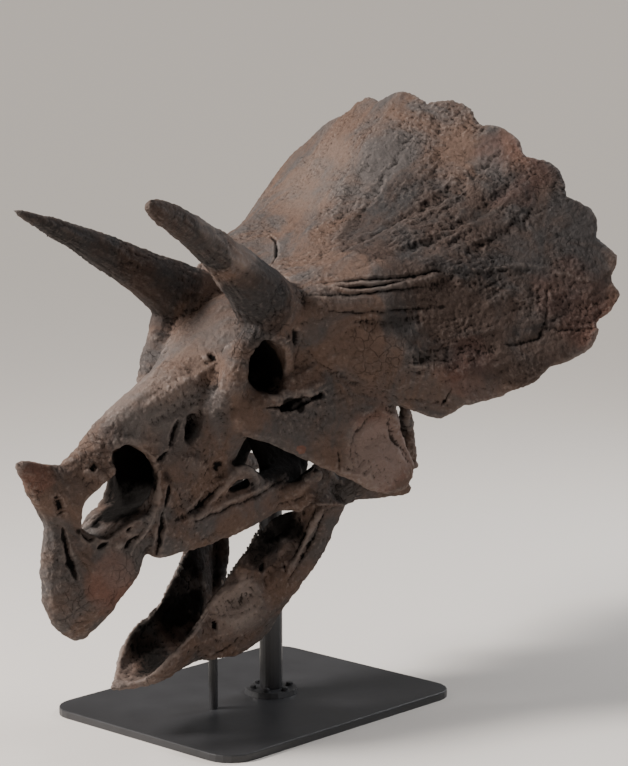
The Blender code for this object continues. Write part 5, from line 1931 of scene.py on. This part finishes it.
@dataclass
class Stand:
    """The steel base, post and rod, bolted down through the post's foot."""

    nodes: tuple[str, ...] = ("stand_base", "stand_foot", "stand_post", "stand_saddle",
                              "stand_jaw_rod", "stand_jaw_cup")
    bolt_count: int = 6
    bolt_circle: float = 0.060
    head_width: float = 0.019
    head_height: float = 0.008
    washer_width: float = 0.025
    washer_height: float = 0.0025

    def build(self, finish: bpy.types.Material) -> list[bpy.types.Object]:
        """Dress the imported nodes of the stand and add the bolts.

        Args:
            finish: The coat on the steel.

        Returns:
            The new pieces.
        """
        for node in self.nodes:
            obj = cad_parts[node]
            obj.data.materials.clear()
            obj.data.materials.append(finish)
        low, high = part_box("stand_foot")
        middle = Vector(((low[0] + high[0]) / 2, (low[1] + high[1]) / 2, high[2]))
        first = self.bolt()
        copies = []
        for k in range(self.bolt_count):
            turn = Matrix.Rotation(math.tau * (k + 0.5) / self.bolt_count, 4, "Z")
            twin = bpy.data.objects.new("bolt", first.data.copy())
            bpy.context.scene.collection.objects.link(twin)
            twin.data.transform(Matrix.Translation(middle) @ turn
                                @ Matrix.Translation((self.bolt_circle, 0.0, 0.0)))
            copies.append(twin)
        bpy.data.objects.remove(first, do_unlink=True)
        bolts = joined(copies, "stand_bolts")
        bolts.data.materials.append(finish)
        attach(bolts, "root")
        return [bolts]

    def bolt(self) -> bpy.types.Object:
        """Model one hexagonal bolt head on its washer, standing on the origin.

        Returns:
            The bolt, to be copied and then removed.
        """
        bpy.ops.object.select_all(action="DESELECT")
        bpy.ops.mesh.primitive_cylinder_add(vertices=20, radius=self.washer_width / 2,
                                            depth=self.washer_height,
                                            location=(0, 0, self.washer_height / 2))
        washer = bpy.context.object
        self.softened(washer, 0.0005)
        bpy.ops.object.select_all(action="DESELECT")
        radius = self.head_width / math.sqrt(3)
        bpy.ops.mesh.primitive_cylinder_add(
            vertices=6, radius=radius, depth=self.head_height,
            location=(0, 0, self.washer_height + self.head_height / 2))
        head = bpy.context.object
        self.softened(head, 0.0012)
        bolt = joined([washer, head], "bolt")
        bpy.ops.object.transform_apply(location=True, rotation=True, scale=True)
        bpy.ops.object.shade_smooth_by_angle(angle=math.radians(35))
        return bolt

    @staticmethod
    def softened(obj: bpy.types.Object, width: float) -> None:
        """Bevel every edge of a small metal part.

        Args:
            obj: The part.
            width: Width of the bevel, in metres.
        """
        only(obj)
        bpy.ops.object.mode_set(mode="EDIT")
        bpy.ops.mesh.select_all(action="SELECT")
        bpy.ops.mesh.bevel(offset=width, segments=2, affect="EDGES")
        bpy.ops.mesh.normals_make_consistent(inside=False)
        bpy.ops.object.mode_set(mode="OBJECT")


@dataclass(frozen=True)
class Lamp:
    """One soft light, placed as the camera sees it.

    Attributes:
        name: The light's name.
        left: Distance to the camera's left of the target, in metres.
        up: Height above the target.
        near: Distance from the target towards the camera.
        power: Watts, or watts for each square metre from a sun.
        colour: Colour of the light.
        size: Side of a square light, in metres; 0 makes a sun.
        spread: How wide a sun looks, in degrees.
    """

    name: str
    left: float
    up: float
    near: float
    power: float
    colour: Point
    size: float = 0.0
    spread: float = 0.0

    def build(self, target: Vector, turn: Matrix) -> None:
        """Place the light and aim it at the target.

        Args:
            target: What it shines on.
            turn: The camera's rotation.
        """
        data = bpy.data.lights.new(self.name, "AREA" if self.size else "SUN")
        data.energy = self.power
        data.color = self.colour
        if self.size:
            data.size = self.size
        else:
            data.angle = math.radians(self.spread)
        back = turn @ Vector((0, 0, 1))
        back.z = 0
        back.normalize()
        right = turn @ Vector((1, 0, 0))
        lamp = bpy.data.objects.new(self.name, data)
        lamp.location = target - right * self.left + back * self.near + Vector((0, 0, self.up))
        lamp.rotation_euler = (lamp.location - target).to_track_quat("Z", "Y").to_euler()
        bpy.context.scene.collection.objects.link(lamp)


@dataclass
class Studio:
    """Floor, lights and camera."""

    camera_place: Point = (5.3855, 5.2643, 2.2011)
    camera_turn: Point = (1.414376, 0.0, 2.320563)
    lens: float = 117.0675
    sensor: float = 36.0
    target: Point = (0.05, 0.0, 1.15)
    floor_size: float = 1200.0
    sky_colour: Point = (0.88, 0.84, 0.80)
    sky_strength: float = 0.21
    lamps: tuple[Lamp, ...] = (
        Lamp("key", 3.6, 2.4, 0.80, 280.0, (1.0, 0.95, 0.91), size=1.4),
        Lamp("sun", 3.3, 2.7, 0.60, 3.3, (1.0, 0.96, 0.91), spread=12.0),
        Lamp("fill", -3.6, 1.2, 2.4, 26.0, (0.92, 0.95, 1.0), size=3.0),
        Lamp("rim", -3.4, 2.6, -2.6, 150.0, (0.95, 0.97, 1.0), size=1.4))

    def build(self, finish: bpy.types.Material) -> None:
        """Set up the floor, the camera, the sky and the lights.

        Args:
            finish: The floor's material.
        """
        bpy.ops.object.select_all(action="DESELECT")
        bpy.ops.mesh.primitive_plane_add(size=self.floor_size)
        floor = bpy.context.object
        floor.name = "floor"
        floor.data.materials.append(finish)
        data = bpy.data.cameras.new("camera")
        data.lens = self.lens
        data.sensor_width = self.sensor
        camera = bpy.data.objects.new("camera", data)
        camera.location = self.camera_place
        camera.rotation_euler = self.camera_turn
        bpy.context.scene.collection.objects.link(camera)
        bpy.context.scene.camera = camera
        world = bpy.data.worlds.new("studio")
        world.use_nodes = True
        sky = world.node_tree.nodes["Background"]
        sky.inputs["Color"].default_value = (*self.sky_colour, 1.0)
        sky.inputs["Strength"].default_value = self.sky_strength
        bpy.context.scene.world = world
        for lamp in self.lamps:
            lamp.build(Vector(self.target), Euler(self.camera_turn).to_matrix())


def main() -> None:
    """Build the looks in order."""
    logging.basicConfig(level=logging.INFO, format="%(message)s", stream=sys.stdout)
    skull = SkullFrame()
    kit = ShaderKit()
    bone = BoneFinish().build(kit)
    coat = CoatFinish().build(kit)
    coarse = 1.0
    upper = UpperSkull(skull, voxel=UpperSkull.voxel * coarse)
    lower = LowerJaw(skull, voxel=LowerJaw.voxel * coarse)
    pieces = upper.build(bone) + lower.build(bone)
    pieces += Teeth(skull).build(ToothFinish().build(kit))
    pieces += Stand().build(coat)
    for piece in pieces:
        LOG.info("piece %s", piece.name)
    Studio().build(FloorFinish().build(kit))


if __name__ == "__main__":
    main()
